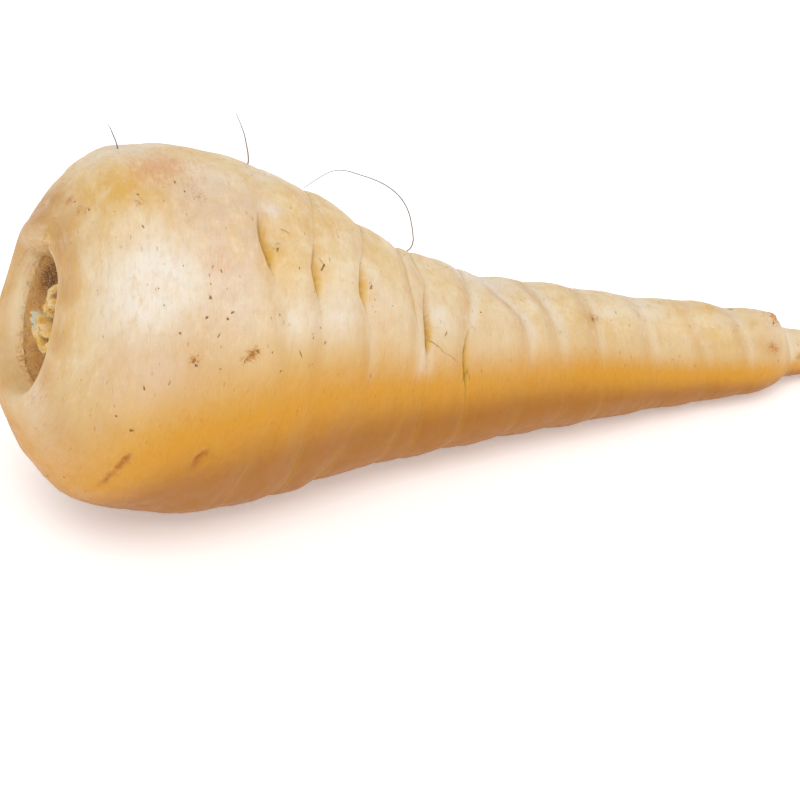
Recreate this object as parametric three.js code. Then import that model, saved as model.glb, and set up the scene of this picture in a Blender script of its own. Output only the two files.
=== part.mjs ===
// A parsnip lying on its side, modelled in millimetres with +Z up.
// The root's axis runs along +X from the crown to the tip. It is drawn as an outline of
// stations (along the axis) and radii, turned into a closed skin, laid along a sagging
// centre line, and then creased and lumped by formulas. Angles round the root are in
// degrees: 0 is the top, 90 the side facing -Y, 180 the underside, -90 the side facing +Y.
import * as THREE from 'three';
import { mergeVertices } from 'three/addons/utils/BufferGeometryUtils.js';

// Driving dimensions: the sunken crown first, then its rim, the shoulder, the taper, the
// knuckle at station 170 and the thin end of the tail. Each entry is [station, radius].
const RIM_STATION = 1.3;
const TIP_STATION = 213;
const FLOOR_STATION = 9;
const OUTLINE = [
  [FLOOR_STATION, 0], [FLOOR_STATION, 8], [8.9, 13], [7.5, 15.7], [4.8, 16.2], [2.4, 16.8],
  [RIM_STATION, 18.4], [1.8, 21], [3.5, 25], [7.4, 31.1], [13.8, 36.3], [22, 38],
  [32, 38.3], [44, 36.3], [59, 31.4], [75, 24.8], [92, 21.1], [109, 17.9], [127, 15.6],
  [147, 12.7], [160, 11.3], [170, 10.5], [176, 8.6], [181, 6.2], [192, 4.9], [204, 3],
  [211, 1.6], [TIP_STATION, 0],
];

// The centre line, as [station, height above the surface it lies on] and, for its small
// sideways wander, [station, distance towards +Y]. The crown is tipped up off the surface.
const CENTRE_HEIGHT = [
  [0, 47.4], [8, 44.5], [18, 41.7], [32, 38.5], [44, 35.3], [59, 30.6], [75, 25.2], [92, 21],
  [109, 17.8], [127, 15.3], [147, 12.6], [160, 11.1], [170, 10], [178, 7.9], [192, 4.9],
  [204, 3.1], [TIP_STATION, 1.5],
];
const CENTRE_SIDE = [[0, 0], [90, 0], [150, -1.2], [175, -1.4], [195, 0.4],
  [TIP_STATION, 3.4]];

// The sunken crown leans a little towards -Y, and the lean is gone a little way down the
// shoulder.
const CROWN_LEAN = 0.1;
const CROWN_REACH = 22;

// Creases that run across the root, from the crown end to the tail. Each is a closed path
// round it, given as [angle, station, depth of the soft fold, depth of the sharp cut in it].
const CREASES = [
  [[-170, 45, 0.3, 0.1], [-120, 43, 0.8, 0.5], [-75, 46, 0.5, 0.3], [-40, 45, 0.3, 0],
    [-15, 43, 0.35, 0], [8, 41.2, 0.4, 0], [19, 40, 0.5, 0.1], [25, 39.4, 0.5, 0.8],
    [29, 39.2, 0.5, 2.4], [36, 39.6, 0.5, 2.7], [41, 40.4, 0.5, 1.6], [45, 41.3, 0.6, 0.25],
    [53, 43, 0.7, 0], [62, 44.5, 0.7, 0], [80, 46, 0.4, 0], [120, 44, 0.3, 0.15]],
  [[-150, 55, 0.6, 0.5], [-100, 57, 0.6, 0.3], [-50, 56, 0.4, 0.1], [-12, 54.3, 0.35, 0.35],
    [10, 52, 0.4, 0.3], [22, 51, 0.4, 0.3], [29, 50.7, 0.4, 0.6], [34, 50.4, 0.4, 2],
    [40, 50.2, 0.4, 2.4], [45, 50.7, 0.45, 1.4], [49, 51.3, 0.6, 0.35], [56, 52.2, 0.7, 0.1],
    [66, 53.2, 0.7, 0], [90, 54, 0.4, 0.05], [130, 56, 0.4, 0.3]],
  [[-160, 64, 0.3, 0.2], [-110, 66, 0.6, 0.6], [-60, 67, 0.4, 0.2], [-8, 65.4, 0.4, 0.5],
    [8, 64, 0.45, 0.4], [21, 62.6, 0.4, 0.3], [28, 61.9, 0.4, 0.8], [34, 61.4, 0.4, 2],
    [40, 61.2, 0.4, 2.3], [45, 61.6, 0.45, 1.1], [49, 62.2, 0.6, 0.3], [58, 63.4, 0.7, 0.05],
    [75, 65.5, 0.6, 0], [100, 66, 0.3, 0.05], [140, 65, 0.5, 0.4]],
  [[-140, 76, 0.5, 0.3], [-80, 78.5, 0.6, 0.4], [-20, 78.3, 0.6, 0.5], [5, 77.2, 0.6, 0.3],
    [22, 76.4, 0.6, 0.4], [37, 76.5, 0.6, 0.5], [50, 76.9, 0.5, 0.15], [75, 77.5, 0.3, 0],
    [120, 77, 0.3, 0.2]],
  [[-160, 82, 0.3, 0.2], [-90, 84, 0.4, 0.4], [-30, 82, 0.3, 0.2], [6, 80.8, 0.3, 0.35],
    [17, 81.6, 0.4, 0.35], [26, 81, 0.5, 0.7], [41, 79.9, 0.5, 1.7], [55, 79.8, 0.5, 1.6],
    [64, 80.1, 0.5, 0.4], [81, 81, 0.4, 0.1], [110, 82, 0.4, 0.2], [140, 83, 0.2, 0.2]],
  [[-150, 93, 0.5, 0.3], [-90, 95, 0.4, 0.2], [-30, 96, 0.5, 0.3], [3, 94.7, 0.6, 0.25],
    [15, 94.7, 0.6, 0.08], [25, 94, 0.6, 0], [40, 92, 0.6, 0], [50, 90.8, 0.5, 0.5],
    [62, 89.8, 0.5, 1.2], [75, 90.6, 0.5, 1], [86, 91.6, 0.4, 0.3], [110, 92.5, 0.4, 0.2]],
  [[-140, 106, 0.5, 0.2], [-80, 104, 0.5, 0.3], [-20, 101.8, 0.5, 0.05], [6, 102.5, 0.6, 0],
    [19, 104.3, 0.6, 0], [31, 106.5, 0.6, 0], [43, 107.5, 0.5, 0], [57, 107.3, 0.4, 0.05],
    [90, 106, 0.2, 0.1]],
  [[-120, 117, 0.4, 0.2], [-50, 114, 0.5, 0.15], [-2, 113.3, 0.5, 0.08], [28, 115.2, 0.5, 0],
    [60, 116, 0.3, 0], [110, 117, 0.3, 0.1], [170, 118, 0.3, 0.2]],
  [[-150, 128, 0.3, 0.2], [-70, 126, 0.4, 0.2], [2, 125.5, 0.4, 0.1], [24, 125.4, 0.45, 0.35],
    [40, 125.4, 0.3, 0.15], [80, 126, 0.2, 0.1], [130, 128, 0.3, 0.2]],
  [[-120, 141, 0.3, 0.2], [-30, 140, 0.3, 0.05], [10, 139, 0.3, 0.05], [70, 140, 0.2, 0],
    [130, 142, 0.2, 0.1]],
  [[-150, 154, 0.2, 0.1], [-40, 152, 0.25, 0], [40, 153, 0.2, 0.05], [120, 155, 0.2, 0.1]],
  [[-120, 165, 0.3, 0.2], [-20, 164.5, 0.3, 0.05], [60, 165, 0.3, 0.05], [150, 165, 0.2, 0.15]],
  [[-140, 179, 0.2, 0.2], [-30, 180, 0.3, 0.15], [40, 178, 0.5, 0.2], [100, 179, 0.4, 0.1]],
];
const FOLD_WIDTH = 3;
const CUT_CROWN_WIDTH = 0.5;
const CUT_TAIL_WIDTH = 0.8;
const CUT_TAIL_SPREAD = 0.45;
const CREASE_SWELL = 0.45;
const CREASE_SWELL_REACH = 5;
const CUT_SWELL_SHARE = 0.6;

// Local rises and pits, each as [station, angle, height, half-width]: the belly that the
// root lies on, flats and swells along its top, the stump of a snapped side root on the
// knuckle, two heels of the knuckle, and the deep corners of three creases.
const BUMPS = [
  [54, 180, 1.4, 24], [48.5, -7, -0.9, 5], [62.5, -8, -0.8, 4], [79.5, -12, 0.6, 3.5],
  [102, -17, -1.3, 8], [154, -18, 0.9, 8], [168, -2, -1.1, 5], [171.2, 4, 0.7, 3],
  [172.5, 13, 1.2, 1.6], [166, 95, 0.9, 6], [174, -110, 1.2, 5], [41.2, 33, -1.3, 2.4],
  [51.4, 40, -0.5, 1.8], [62.2, 43, -0.4, 1.8],
];

// Slow changes of the crown, each as [reach, angle, height, half-width along the skin,
// half-width round it in degrees]: one side of the rim is lower and rounder, and the wall
// of the sunken crown slopes gently above, below and there.
const CROWN_FORMS = [
  [1, -85, -1.6, 9, 46], [-8.5, -110, 2.4, 4, 60], [-1, -165, -1, 7, 30],
  [-5, -22, 3.2, 5, 42], [-5, -178, 2.8, 4.5, 36], [10, 172, -1.1, 9, 34],
  [0, 8, -0.7, 4, 16], [0, 36, -0.7, 4, 20],
];

// Slow waves that keep the sections from being true circles: [height, waves round the root,
// waves along its length, phase].
const WAVES = [[0.5, 2, 1.6, 0.7], [0.35, 3, -2.6, 2.1], [0.25, 5, 4.2, 4]];
const WAVE_FADE = 14;
const WAVE_FULL_RADIUS = 20;

// The trimmed leaf stalks that stand in the sunken crown.
const STUB_RADIUS = 7;
const STUB_HEIGHT = 4.4;
const STUB_GAP = 0.3;
const STUB_LOBES = 5;
const STUB_LOBE_SHARE = 0.14;
const STUB_RAGGED = 0.7;
const STUB_OFFSET = { up: 2.2, side: 4.6 };

// How finely the skin is divided.
const SIDES = 58;
const RING_GAP = 4.6;
const RINGS_BY_CREASE = [-1.2, 0, 1.5];
const CROWN_RINGS = [-11, -8, -5, -2, 0];
const FIRST_CREASED_REACH = 34;
const OUTLINE_SAMPLES = 2000;
const STUB_SIDES = 30;

const FULL_TURN = 360;
const radians = THREE.MathUtils.degToRad;

// A smooth curve through knots of [position, value, ...], read at one position.
function smoothAt(knots, position, column = 1) {
  const last = knots.length - 1;
  let start = 0;
  while (start < last - 1 && knots[start + 1][0] < position) start += 1;
  const slopeAt = (index) => {
    const before = knots[Math.max(index - 1, 0)];
    const after = knots[Math.min(index + 1, last)];
    return (after[column] - before[column]) / (after[0] - before[0]);
  };
  const span = knots[start + 1][0] - knots[start][0];
  const t = (position - knots[start][0]) / span;
  const rise = t * t * (3 - 2 * t);
  const from = knots[start][column];
  const to = knots[start + 1][column];
  return from + (to - from) * rise
    + span * t * (1 - t) * (slopeAt(start) * (1 - t) - slopeAt(start + 1) * t);
}

// The outline as a fine trace, with the reach of each point: its distance along the skin
// from the rim, which is negative inside the sunken crown.
function traceOutline() {
  const curve = new THREE.SplineCurve(OUTLINE.map(([s, r]) => new THREE.Vector2(s, r)));
  const points = curve.getPoints(OUTLINE_SAMPLES);
  const reach = [0];
  for (let i = 1; i < points.length; i += 1) {
    reach.push(reach[i - 1] + points[i].distanceTo(points[i - 1]));
  }
  const rim = points.reduce((best, p, i) => (p.x < points[best].x ? i : best), 0);
  return { points, rim, reach: reach.map((length) => length - reach[rim]) };
}

const trace = traceOutline();
const firstReach = trace.reach[0];
const lastReach = trace.reach[OUTLINE_SAMPLES];

// The station, radius and direction of the outline at a reach.
function outlineAt(reach) {
  let low = 0;
  let high = OUTLINE_SAMPLES;
  while (high - low > 1) {
    const middle = Math.floor((low + high) / 2);
    if (trace.reach[middle] <= reach) low = middle;
    else high = middle;
  }
  const span = trace.reach[high] - trace.reach[low];
  const share = (reach - trace.reach[low]) / span;
  const place = trace.points[low].clone().lerp(trace.points[high], share);
  const direction = trace.points[high].clone().sub(trace.points[low]).divideScalar(span);
  return { station: place.x, radius: Math.max(place.y, 0), direction };
}

// The reach of a station on the outer skin.
function reachOf(station) {
  let index = trace.rim;
  while (index < OUTLINE_SAMPLES && trace.points[index].x < station) index += 1;
  return trace.reach[index];
}

// A crease's path as knots of [angle, reach, fold, cut] that run past a full turn both ways.
function closedPath(points) {
  const knots = points.map(([angle, station, ...depths]) => [angle, reachOf(station), ...depths]);
  const shifted = (turn) => knots.map(([angle, ...rest]) => [angle + turn, ...rest]);
  return [...shifted(-FULL_TURN), ...knots, ...shifted(FULL_TURN)];
}

const creases = CREASES.map((points) => {
  const path = closedPath(points);
  const mean = points.reduce((sum, point) => sum + reachOf(point[1]), 0) / points.length;
  return { path, mean };
});
const bumps = BUMPS.map(([station, ...rest]) => [reachOf(station), ...rest]);

// The rings of the skin follow the creases, so a crease is a sharp line in the mesh.
function followCreases(reach, angle) {
  const stops = [{ mean: FIRST_CREASED_REACH, moved: FIRST_CREASED_REACH }];
  creases.forEach(({ path, mean }) => stops.push({ mean, moved: smoothAt(path, angle) }));
  stops.push({ mean: lastReach, moved: lastReach });
  if (reach <= FIRST_CREASED_REACH) return reach;
  const next = stops.findIndex(({ mean }, index) => index > 0 && reach <= mean);
  const share = (reach - stops[next - 1].mean) / (stops[next].mean - stops[next - 1].mean);
  return stops[next - 1].moved + share * (stops[next].moved - stops[next - 1].moved);
}

// How far one angle is past another, from -180 to 180.
function turnPast(angle, bearing) {
  return THREE.MathUtils.euclideanModulo(angle - bearing + 180, FULL_TURN) - 180;
}

const bell = (share) => Math.exp(-share * share);

// A crease is a soft fold with a cut in it. The cut drops steeply from the crown side, whose
// flesh swells over it, and rises as a wedge towards the tail.
function creaseRelief(reach, angle) {
  return creases.reduce((sum, { path }) => {
    const past = reach - smoothAt(path, angle);
    const fold = Math.max(smoothAt(path, angle, 2), 0);
    const cut = Math.max(smoothAt(path, angle, 3), 0);
    const width = CUT_TAIL_WIDTH + CUT_TAIL_SPREAD * cut;
    const wedge = past < 0 ? Math.exp(past / CUT_CROWN_WIDTH) : Math.max(1 - past / width, 0);
    const swell = CREASE_SWELL * (fold + cut * CUT_SWELL_SHARE);
    return sum + swell * bell((past + CREASE_SWELL_REACH) / CREASE_SWELL_REACH)
      - fold * bell(past / FOLD_WIDTH) - cut * wedge;
  }, 0);
}

function bumpRelief(reach, angle, radius) {
  return bumps.reduce((sum, [centre, bearing, height, width]) => {
    const across = radians(turnPast(angle, bearing)) * radius;
    return sum + height * bell(Math.hypot(reach - centre, across) / width);
  }, 0);
}

function crownRelief(reach, angle) {
  return CROWN_FORMS.reduce((sum, [middle, bearing, height, width, turnWidth]) => {
    const turn = turnPast(angle, bearing) / turnWidth;
    return sum + height * bell(Math.hypot((reach - middle) / width, turn));
  }, 0);
}

function waveRelief(reach, angle) {
  const along = reach / lastReach * Math.PI;
  return WAVES.reduce((sum, [height, round, down, phase]) => (
    sum + height * Math.sin(round * radians(angle) + down * along + phase)
  ), 0);
}

// The height of the relief above the plain outline. Waves and creases die away towards
// both ends, and the sunken crown has only its slow changes.
function relief(reach, angle, radius) {
  const crown = crownRelief(reach, angle);
  if (reach <= 0) return crown;
  const fade = Math.min(reach / WAVE_FADE, (lastReach - reach) / WAVE_FADE, 1);
  const waves = waveRelief(reach, angle) * Math.min(radius / WAVE_FULL_RADIUS, 1);
  return crown + (waves + creaseRelief(reach, angle)) * fade + bumpRelief(reach, angle, radius);
}

// The centre line at a station, with the directions along, above and beside it.
function centreAt(station) {
  const place = (s) => new THREE.Vector3(s, smoothAt(CENTRE_SIDE, s), smoothAt(CENTRE_HEIGHT, s));
  const centre = place(station);
  const along = place(station + 0.5).sub(place(station - 0.5)).normalize();
  const beside = new THREE.Vector3(0, 0, 1).cross(along).negate().normalize();
  const above = along.clone().cross(beside).negate();
  return { centre, along, beside, above };
}

// A point at a distance from the centre line. The share of the crown's lean that it takes
// is 1 in the sunken crown and 0 beyond its shoulder.
function placed(station, radius, angle, crownShare) {
  const { centre, along, beside, above } = centreAt(station);
  const up = radius * Math.cos(radians(angle));
  const side = radius * Math.sin(radians(angle));
  return centre.addScaledVector(above, up)
    .addScaledVector(beside, side)
    .addScaledVector(along, CROWN_LEAN * side * crownShare);
}

function skinPoint(ringReach, angle) {
  const reach = followCreases(ringReach, angle);
  const { station, radius, direction } = outlineAt(reach);
  const height = relief(reach, angle, radius);
  const share = 1 - THREE.MathUtils.smoothstep(reach, 0, CROWN_REACH);
  const point = placed(
    station - height * direction.y,
    radius + height * direction.x,
    angle,
    share,
  );
  point.z = Math.max(point.z, 0);
  return point;
}

// Ring positions: three at each crease, and more wherever the gap is too wide.
function ringReaches() {
  const marks = [firstReach, ...CROWN_RINGS, FIRST_CREASED_REACH, lastReach];
  creases.forEach(({ mean }) => RINGS_BY_CREASE.forEach((step) => marks.push(mean + step)));
  marks.sort((a, b) => a - b);
  const rings = [firstReach];
  marks.slice(1).forEach((mark) => {
    const from = rings[rings.length - 1];
    const steps = Math.max(Math.round((mark - from) / RING_GAP), 1);
    for (let i = 1; i <= steps; i += 1) rings.push(from + (mark - from) * i / steps);
  });
  return rings;
}

// A lathe geometry whose points are moved by a rule of (ring, angle), with its seam and
// its two poles joined up so that it is one closed body.
function turnedSolid(profile, sides, move) {
  const geometry = new THREE.LatheGeometry(profile, sides);
  const position = geometry.getAttribute('position');
  for (let i = 0; i < position.count; i += 1) {
    const ring = i % profile.length;
    const side = Math.floor(i / profile.length) % sides;
    const point = move(ring, side / sides * FULL_TURN);
    position.setXYZ(i, point.x, point.y, point.z);
  }
  geometry.deleteAttribute('normal');
  geometry.deleteAttribute('uv');
  const merged = mergeVertices(geometry);
  const corners = Array.from(merged.index.array);
  const kept = [];
  for (let i = 0; i < corners.length; i += 3) {
    const [a, b, c] = corners.slice(i, i + 3);
    if (a !== b && b !== c && c !== a) kept.push(a, b, c);
  }
  merged.setIndex(kept);
  merged.computeVertexNormals();
  return merged;
}

function taprootGeometry() {
  const rings = ringReaches();
  const profile = rings.map((reach) => {
    const { station, radius } = outlineAt(reach);
    return new THREE.Vector2(radius, station);
  });
  return turnedSolid(profile, SIDES, (ring, angle) => {
    const onAxis = ring === 0 || ring === rings.length - 1;
    return skinPoint(rings[ring], onAxis ? 0 : angle);
  });
}

// The leaf stalks are cut off unevenly. They stand on the crown's floor, off its middle,
// as a low lobed block with a hollowed top.
function leafStubGeometry() {
  const base = FLOOR_STATION - STUB_GAP;
  const top = base - STUB_HEIGHT;
  const profile = [[0, base], [0.8, base], [1, base - 1], [0.94, top + 0.8], [0.76, top],
    [0.5, top + 1], [0, top + 1.4]]
    .map(([share, station]) => new THREE.Vector2(share * STUB_RADIUS, station)).reverse();
  return turnedSolid(profile, STUB_SIDES, (ring, angle) => {
    const { x: radius, y: station } = profile[ring];
    const lobe = 1 + STUB_LOBE_SHARE * Math.cos(STUB_LOBES * radians(angle));
    const ragged = station < base - 1 ? STUB_RAGGED * Math.sin(3 * radians(angle) + 1) : 0;
    const up = radius * lobe * Math.cos(radians(angle)) + STUB_OFFSET.up;
    const side = radius * lobe * Math.sin(radians(angle)) + STUB_OFFSET.side;
    const turn = THREE.MathUtils.radToDeg(Math.atan2(side, up));
    return placed(station + ragged * radius / STUB_RADIUS, Math.hypot(up, side), turn, 1);
  });
}

const taproot = new THREE.Mesh(
  taprootGeometry(),
  new THREE.MeshStandardMaterial({ color: 0xe3c08f, roughness: 0.45, metalness: 0 }),
);
taproot.name = 'taproot';

const leafStub = new THREE.Mesh(
  leafStubGeometry(),
  new THREE.MeshStandardMaterial({ color: 0xdcbb6c, roughness: 0.8, metalness: 0 }),
);
leafStub.name = 'leaf_stub';

// The origin is the middle of the root's box, on the surface that it lies on.
taproot.geometry.computeBoundingBox();
const box = taproot.geometry.boundingBox;
const middle = box.getCenter(new THREE.Vector3());
const parsnip = new THREE.Group();
parsnip.position.set(-middle.x, -middle.y, -box.min.z);
parsnip.add(taproot, leafStub);

const part = new THREE.Group();
part.add(parsnip);

export default part;
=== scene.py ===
"""A parsnip lying on its side: its skin, its leaf stalks, its hair roots and its marks."""

import math
import random

import bpy
import numpy as np
from bpy.props import FloatProperty, FloatVectorProperty, IntProperty, PointerProperty
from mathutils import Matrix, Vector, noise


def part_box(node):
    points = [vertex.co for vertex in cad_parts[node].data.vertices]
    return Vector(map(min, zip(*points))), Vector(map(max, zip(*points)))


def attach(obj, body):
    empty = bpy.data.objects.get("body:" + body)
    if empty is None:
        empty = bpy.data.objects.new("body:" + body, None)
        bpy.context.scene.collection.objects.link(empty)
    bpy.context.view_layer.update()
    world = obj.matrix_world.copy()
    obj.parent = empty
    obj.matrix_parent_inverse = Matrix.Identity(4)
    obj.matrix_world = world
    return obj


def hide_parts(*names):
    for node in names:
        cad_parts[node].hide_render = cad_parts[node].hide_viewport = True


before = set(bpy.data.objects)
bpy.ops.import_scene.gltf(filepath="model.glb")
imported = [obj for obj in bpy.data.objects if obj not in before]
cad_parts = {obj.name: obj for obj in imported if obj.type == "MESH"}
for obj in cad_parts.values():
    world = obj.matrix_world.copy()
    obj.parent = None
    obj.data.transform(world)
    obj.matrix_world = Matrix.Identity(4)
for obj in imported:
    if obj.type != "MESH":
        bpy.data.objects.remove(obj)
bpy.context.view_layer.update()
ROOT_LOW, ROOT_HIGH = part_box("taproot")

bl_info = {
    "name": "Parsnip",
    "version": (1, 0, 0),
    "blender": (4, 5, 0),
    "location": "View3D > Sidebar > Parsnip",
    "description": "Builds a parsnip with its leaf stalks, hair roots and skin marks",
    "category": "Add Mesh",
}

MM = 0.001

# The shape is drawn in millimetres. A station is a distance along the root from its crown
# to its tip. Angles round the root are in degrees: 0 is the top, 90 the side facing -Y, 180
# the underside. A reach is a distance along the skin from the crown's rim, and is negative
# inside the sunken crown.
RIM_STATION = 1.3
TIP_STATION = 213
FLOOR_STATION = 9

# The outline as [station, radius]. The radii from station 7.4 to 160 are the rounded result
# of a least-squares fit by another script, the first two of them raised by 0.3 mm since.
# Those at 3.5, 176 and 192 lie within 0.15 mm of it too.
OUTLINE = (
    (FLOOR_STATION, 0), (FLOOR_STATION, 8), (8.9, 13), (7.5, 15.7), (4.8, 16.2), (2.4, 16.8),
    (RIM_STATION, 18.4), (1.8, 21), (3.5, 25), (7.4, 31.1), (13.8, 36.3), (22, 38),
    (32, 38.3), (44, 36.3), (59, 31.4), (75, 24.8), (92, 21.1), (109, 17.9), (127, 15.6),
    (147, 12.7), (160, 11.3), (170, 10.5), (176, 8.6), (181, 6.2), (192, 4.9), (204, 3),
    (211, 1.6), (TIP_STATION, 0),
)
OUTLINE_SAMPLES = 2000

# The centre line: [station, height] and [station, distance towards +Y]. The heights lie
# within 0.8 mm of the centre line of the same fit.
CENTRE_HEIGHT = (
    (0, 47.4), (8, 44.5), (18, 41.7), (32, 38.5), (44, 35.3), (59, 30.6), (75, 25.2), (92, 21),
    (109, 17.8), (127, 15.3), (147, 12.6), (160, 11.1), (170, 10), (178, 7.9), (192, 4.9),
    (204, 3.1), (TIP_STATION, 1.5),
)
CENTRE_SIDE = ((0, 0), (90, 0), (150, -1.2), (175, -1.4), (195, 0.4), (TIP_STATION, 3.4))
CROWN_LEAN = 0.1
CROWN_REACH = 22

# Creases across the root, each a closed path of [angle, station, depth of the soft fold, depth of the
# sharp cut in it]. Many points on the side facing -Y follow places that another script worked out
# from points picked by eye. The rest were given one by one.
CREASES = (
    ((-170, 45, 0.3, 0.1), (-120, 43, 0.8, 0.5), (-75, 46, 0.5, 0.3), (-40, 45, 0.3, 0),
     (-15, 43, 0.35, 0), (8, 41.2, 0.4, 0), (19, 40, 0.5, 0.1), (25, 39.4, 0.5, 0.8),
     (29, 39.2, 0.5, 2.4), (36, 39.6, 0.5, 2.7), (41, 40.4, 0.5, 1.6), (45, 41.3, 0.6, 0.25),
     (53, 43, 0.7, 0), (62, 44.5, 0.7, 0), (80, 46, 0.4, 0), (120, 44, 0.3, 0.15)),
    ((-150, 55, 0.6, 0.5), (-100, 57, 0.6, 0.3), (-50, 56, 0.4, 0.1), (-12, 54.3, 0.35, 0.35),
     (10, 52, 0.4, 0.3), (22, 51, 0.4, 0.3), (29, 50.7, 0.4, 0.6), (34, 50.4, 0.4, 2),
     (40, 50.2, 0.4, 2.4), (45, 50.7, 0.45, 1.4), (49, 51.3, 0.6, 0.35), (56, 52.2, 0.7, 0.1),
     (66, 53.2, 0.7, 0), (90, 54, 0.4, 0.05), (130, 56, 0.4, 0.3)),
    ((-160, 64, 0.3, 0.2), (-110, 66, 0.6, 0.6), (-60, 67, 0.4, 0.2), (-8, 65.4, 0.4, 0.5),
     (8, 64, 0.45, 0.4), (21, 62.6, 0.4, 0.3), (28, 61.9, 0.4, 0.8), (34, 61.4, 0.4, 2),
     (40, 61.2, 0.4, 2.3), (45, 61.6, 0.45, 1.1), (49, 62.2, 0.6, 0.3), (58, 63.4, 0.7, 0.05),
     (75, 65.5, 0.6, 0), (100, 66, 0.3, 0.05), (140, 65, 0.5, 0.4)),
    ((-140, 76, 0.5, 0.3), (-80, 78.5, 0.6, 0.4), (-20, 78.3, 0.6, 0.5), (5, 77.2, 0.6, 0.3),
     (22, 76.4, 0.6, 0.4), (37, 76.5, 0.6, 0.5), (50, 76.9, 0.5, 0.15), (75, 77.5, 0.3, 0),
     (120, 77, 0.3, 0.2)),
    ((-160, 82, 0.3, 0.2), (-90, 84, 0.4, 0.4), (-30, 82, 0.3, 0.2), (6, 80.8, 0.3, 0.35),
     (17, 81.6, 0.4, 0.35), (26, 81, 0.5, 0.7), (41, 79.9, 0.5, 1.7), (55, 79.8, 0.5, 1.6),
     (64, 80.1, 0.5, 0.4), (81, 81, 0.4, 0.1), (110, 82, 0.4, 0.2), (140, 83, 0.2, 0.2)),
    ((-150, 93, 0.5, 0.3), (-90, 95, 0.4, 0.2), (-30, 96, 0.5, 0.3), (3, 94.7, 0.6, 0.25),
     (15, 94.7, 0.6, 0.08), (25, 94, 0.6, 0), (40, 92, 0.6, 0), (50, 90.8, 0.5, 0.5),
     (62, 89.8, 0.5, 1.2), (75, 90.6, 0.5, 1), (86, 91.6, 0.4, 0.3), (110, 92.5, 0.4, 0.2)),
    ((-140, 106, 0.5, 0.2), (-80, 104, 0.5, 0.3), (-20, 101.8, 0.5, 0.05), (6, 102.5, 0.6, 0),
     (19, 104.3, 0.6, 0), (31, 106.5, 0.6, 0), (43, 107.5, 0.5, 0), (57, 107.3, 0.4, 0.05),
     (90, 106, 0.2, 0.1)),
    ((-120, 117, 0.4, 0.2), (-50, 114, 0.5, 0.15), (-2, 113.3, 0.5, 0.08), (28, 115.2, 0.5, 0),
     (60, 116, 0.3, 0), (110, 117, 0.3, 0.1), (170, 118, 0.3, 0.2)),
    ((-150, 128, 0.3, 0.2), (-70, 126, 0.4, 0.2), (2, 125.5, 0.4, 0.1), (24, 125.4, 0.45, 0.35),
     (40, 125.4, 0.3, 0.15), (80, 126, 0.2, 0.1), (130, 128, 0.3, 0.2)),
    ((-120, 141, 0.3, 0.2), (-30, 140, 0.3, 0.05), (10, 139, 0.3, 0.05), (70, 140, 0.2, 0),
     (130, 142, 0.2, 0.1)),
    ((-150, 154, 0.2, 0.1), (-40, 152, 0.25, 0), (40, 153, 0.2, 0.05), (120, 155, 0.2, 0.1)),
    ((-120, 165, 0.3, 0.2), (-20, 164.5, 0.3, 0.05), (60, 165, 0.3, 0.05), (150, 165, 0.2, 0.15)),
    ((-140, 179, 0.2, 0.2), (-30, 180, 0.3, 0.15), (40, 178, 0.5, 0.2), (100, 179, 0.4, 0.1)),
)
# Down to which angle the deep cuts are only faintly stained, and over how many degrees the
# stain fades in there, by the place of the crease in the list above.
STAIN_STARTS = {0: (37, 14), 1: (45, 14), 2: (40, 14), 4: (58, 24)}
STAIN_LOSS = 0.8
FOLD_WIDTH = 3.0
CUT_CROWN_WIDTH = 0.5
CUT_TAIL_WIDTH = 0.8
CUT_TAIL_SPREAD = 0.45
CREASE_SWELL = 0.45
CREASE_SWELL_REACH = 5

# The crown side of a crease hangs a little over it: the share of the cut's depth that the
# skin slides towards the tail, and how far up the crown side that reaches.
LIP_SLIDE = 0.1
LIP_REACH = 1.3

# How a cut narrows to its bottom, how much the skin beside it swells, the depth that stains it fully,
# between which angles the faint stain begins, and how the stain narrows to the bottom, where it is
# brown with painted shade, and widens up the wall.
CUT_POWER = 1.2
CUT_SWELL_SHARE = 0.6
FULL_CUT = 1.5
FAINT_ANGLES = (2, 15)
BOTTOM_POWER = 4
WALL_GAIN = 2.4

# How a soft fold is coloured: the depth that gives the full colour, where its tan bottom, a painted
# shade, and its pale edge, a painted highlight, lie and how wide they are, how strong the tan is near
# the crown and how much it grows, the reaches where the two grow, and the depth of cut that leaves no
# pale edge.
FULL_FOLD = 0.6
VALLEY_SHIFT, VALLEY_WIDTH = 1.6, 1.8
CREST_SHIFT, CREST_WIDTH = 0.7, 1.3
VALLEY_SHARE, VALLEY_GROWTH = 0.35, 0.3
VALLEY_REACHES = (80, 120)
CREST_REACHES = (55, 95)
CREST_CUT = 0.8

# Rises and pits, each as [station, angle, height, half-width].
BUMPS = (
    (54, 180, 1.4, 24), (48.5, -7, -0.9, 5), (62.5, -8, -0.8, 4), (79.5, -12, 0.6, 3.5),
    (102, -17, -1.3, 8), (154, -18, 0.9, 8), (168, -2, -1.1, 5), (171.2, 4, 0.7, 3),
    (172.5, 13, 1.2, 1.6), (166, 95, 0.9, 6), (174, -110, 1.2, 5), (41.2, 33, -1.3, 2.4),
    (51.4, 40, -0.5, 1.8), (62.2, 43, -0.4, 1.8),
)

# Slow changes of the crown, each as [reach, angle, height, half-width along the skin,
# half-width round it in degrees]: one side of the rim is lower and rounder, and the wall
# of the sunken crown slopes gently above, below and there.
CROWN_FORMS = (
    (1, -85, -1.6, 9, 46), (-8.5, -110, 2.4, 4, 60), (-1, -165, -1, 7, 30),
    (-5, -22, 3.2, 5, 42), (-5, -178, 2.8, 4.5, 36), (10, 172, -1.1, 9, 34),
    (0, 8, -0.7, 4, 16), (0, 36, -0.7, 4, 20),
)

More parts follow.
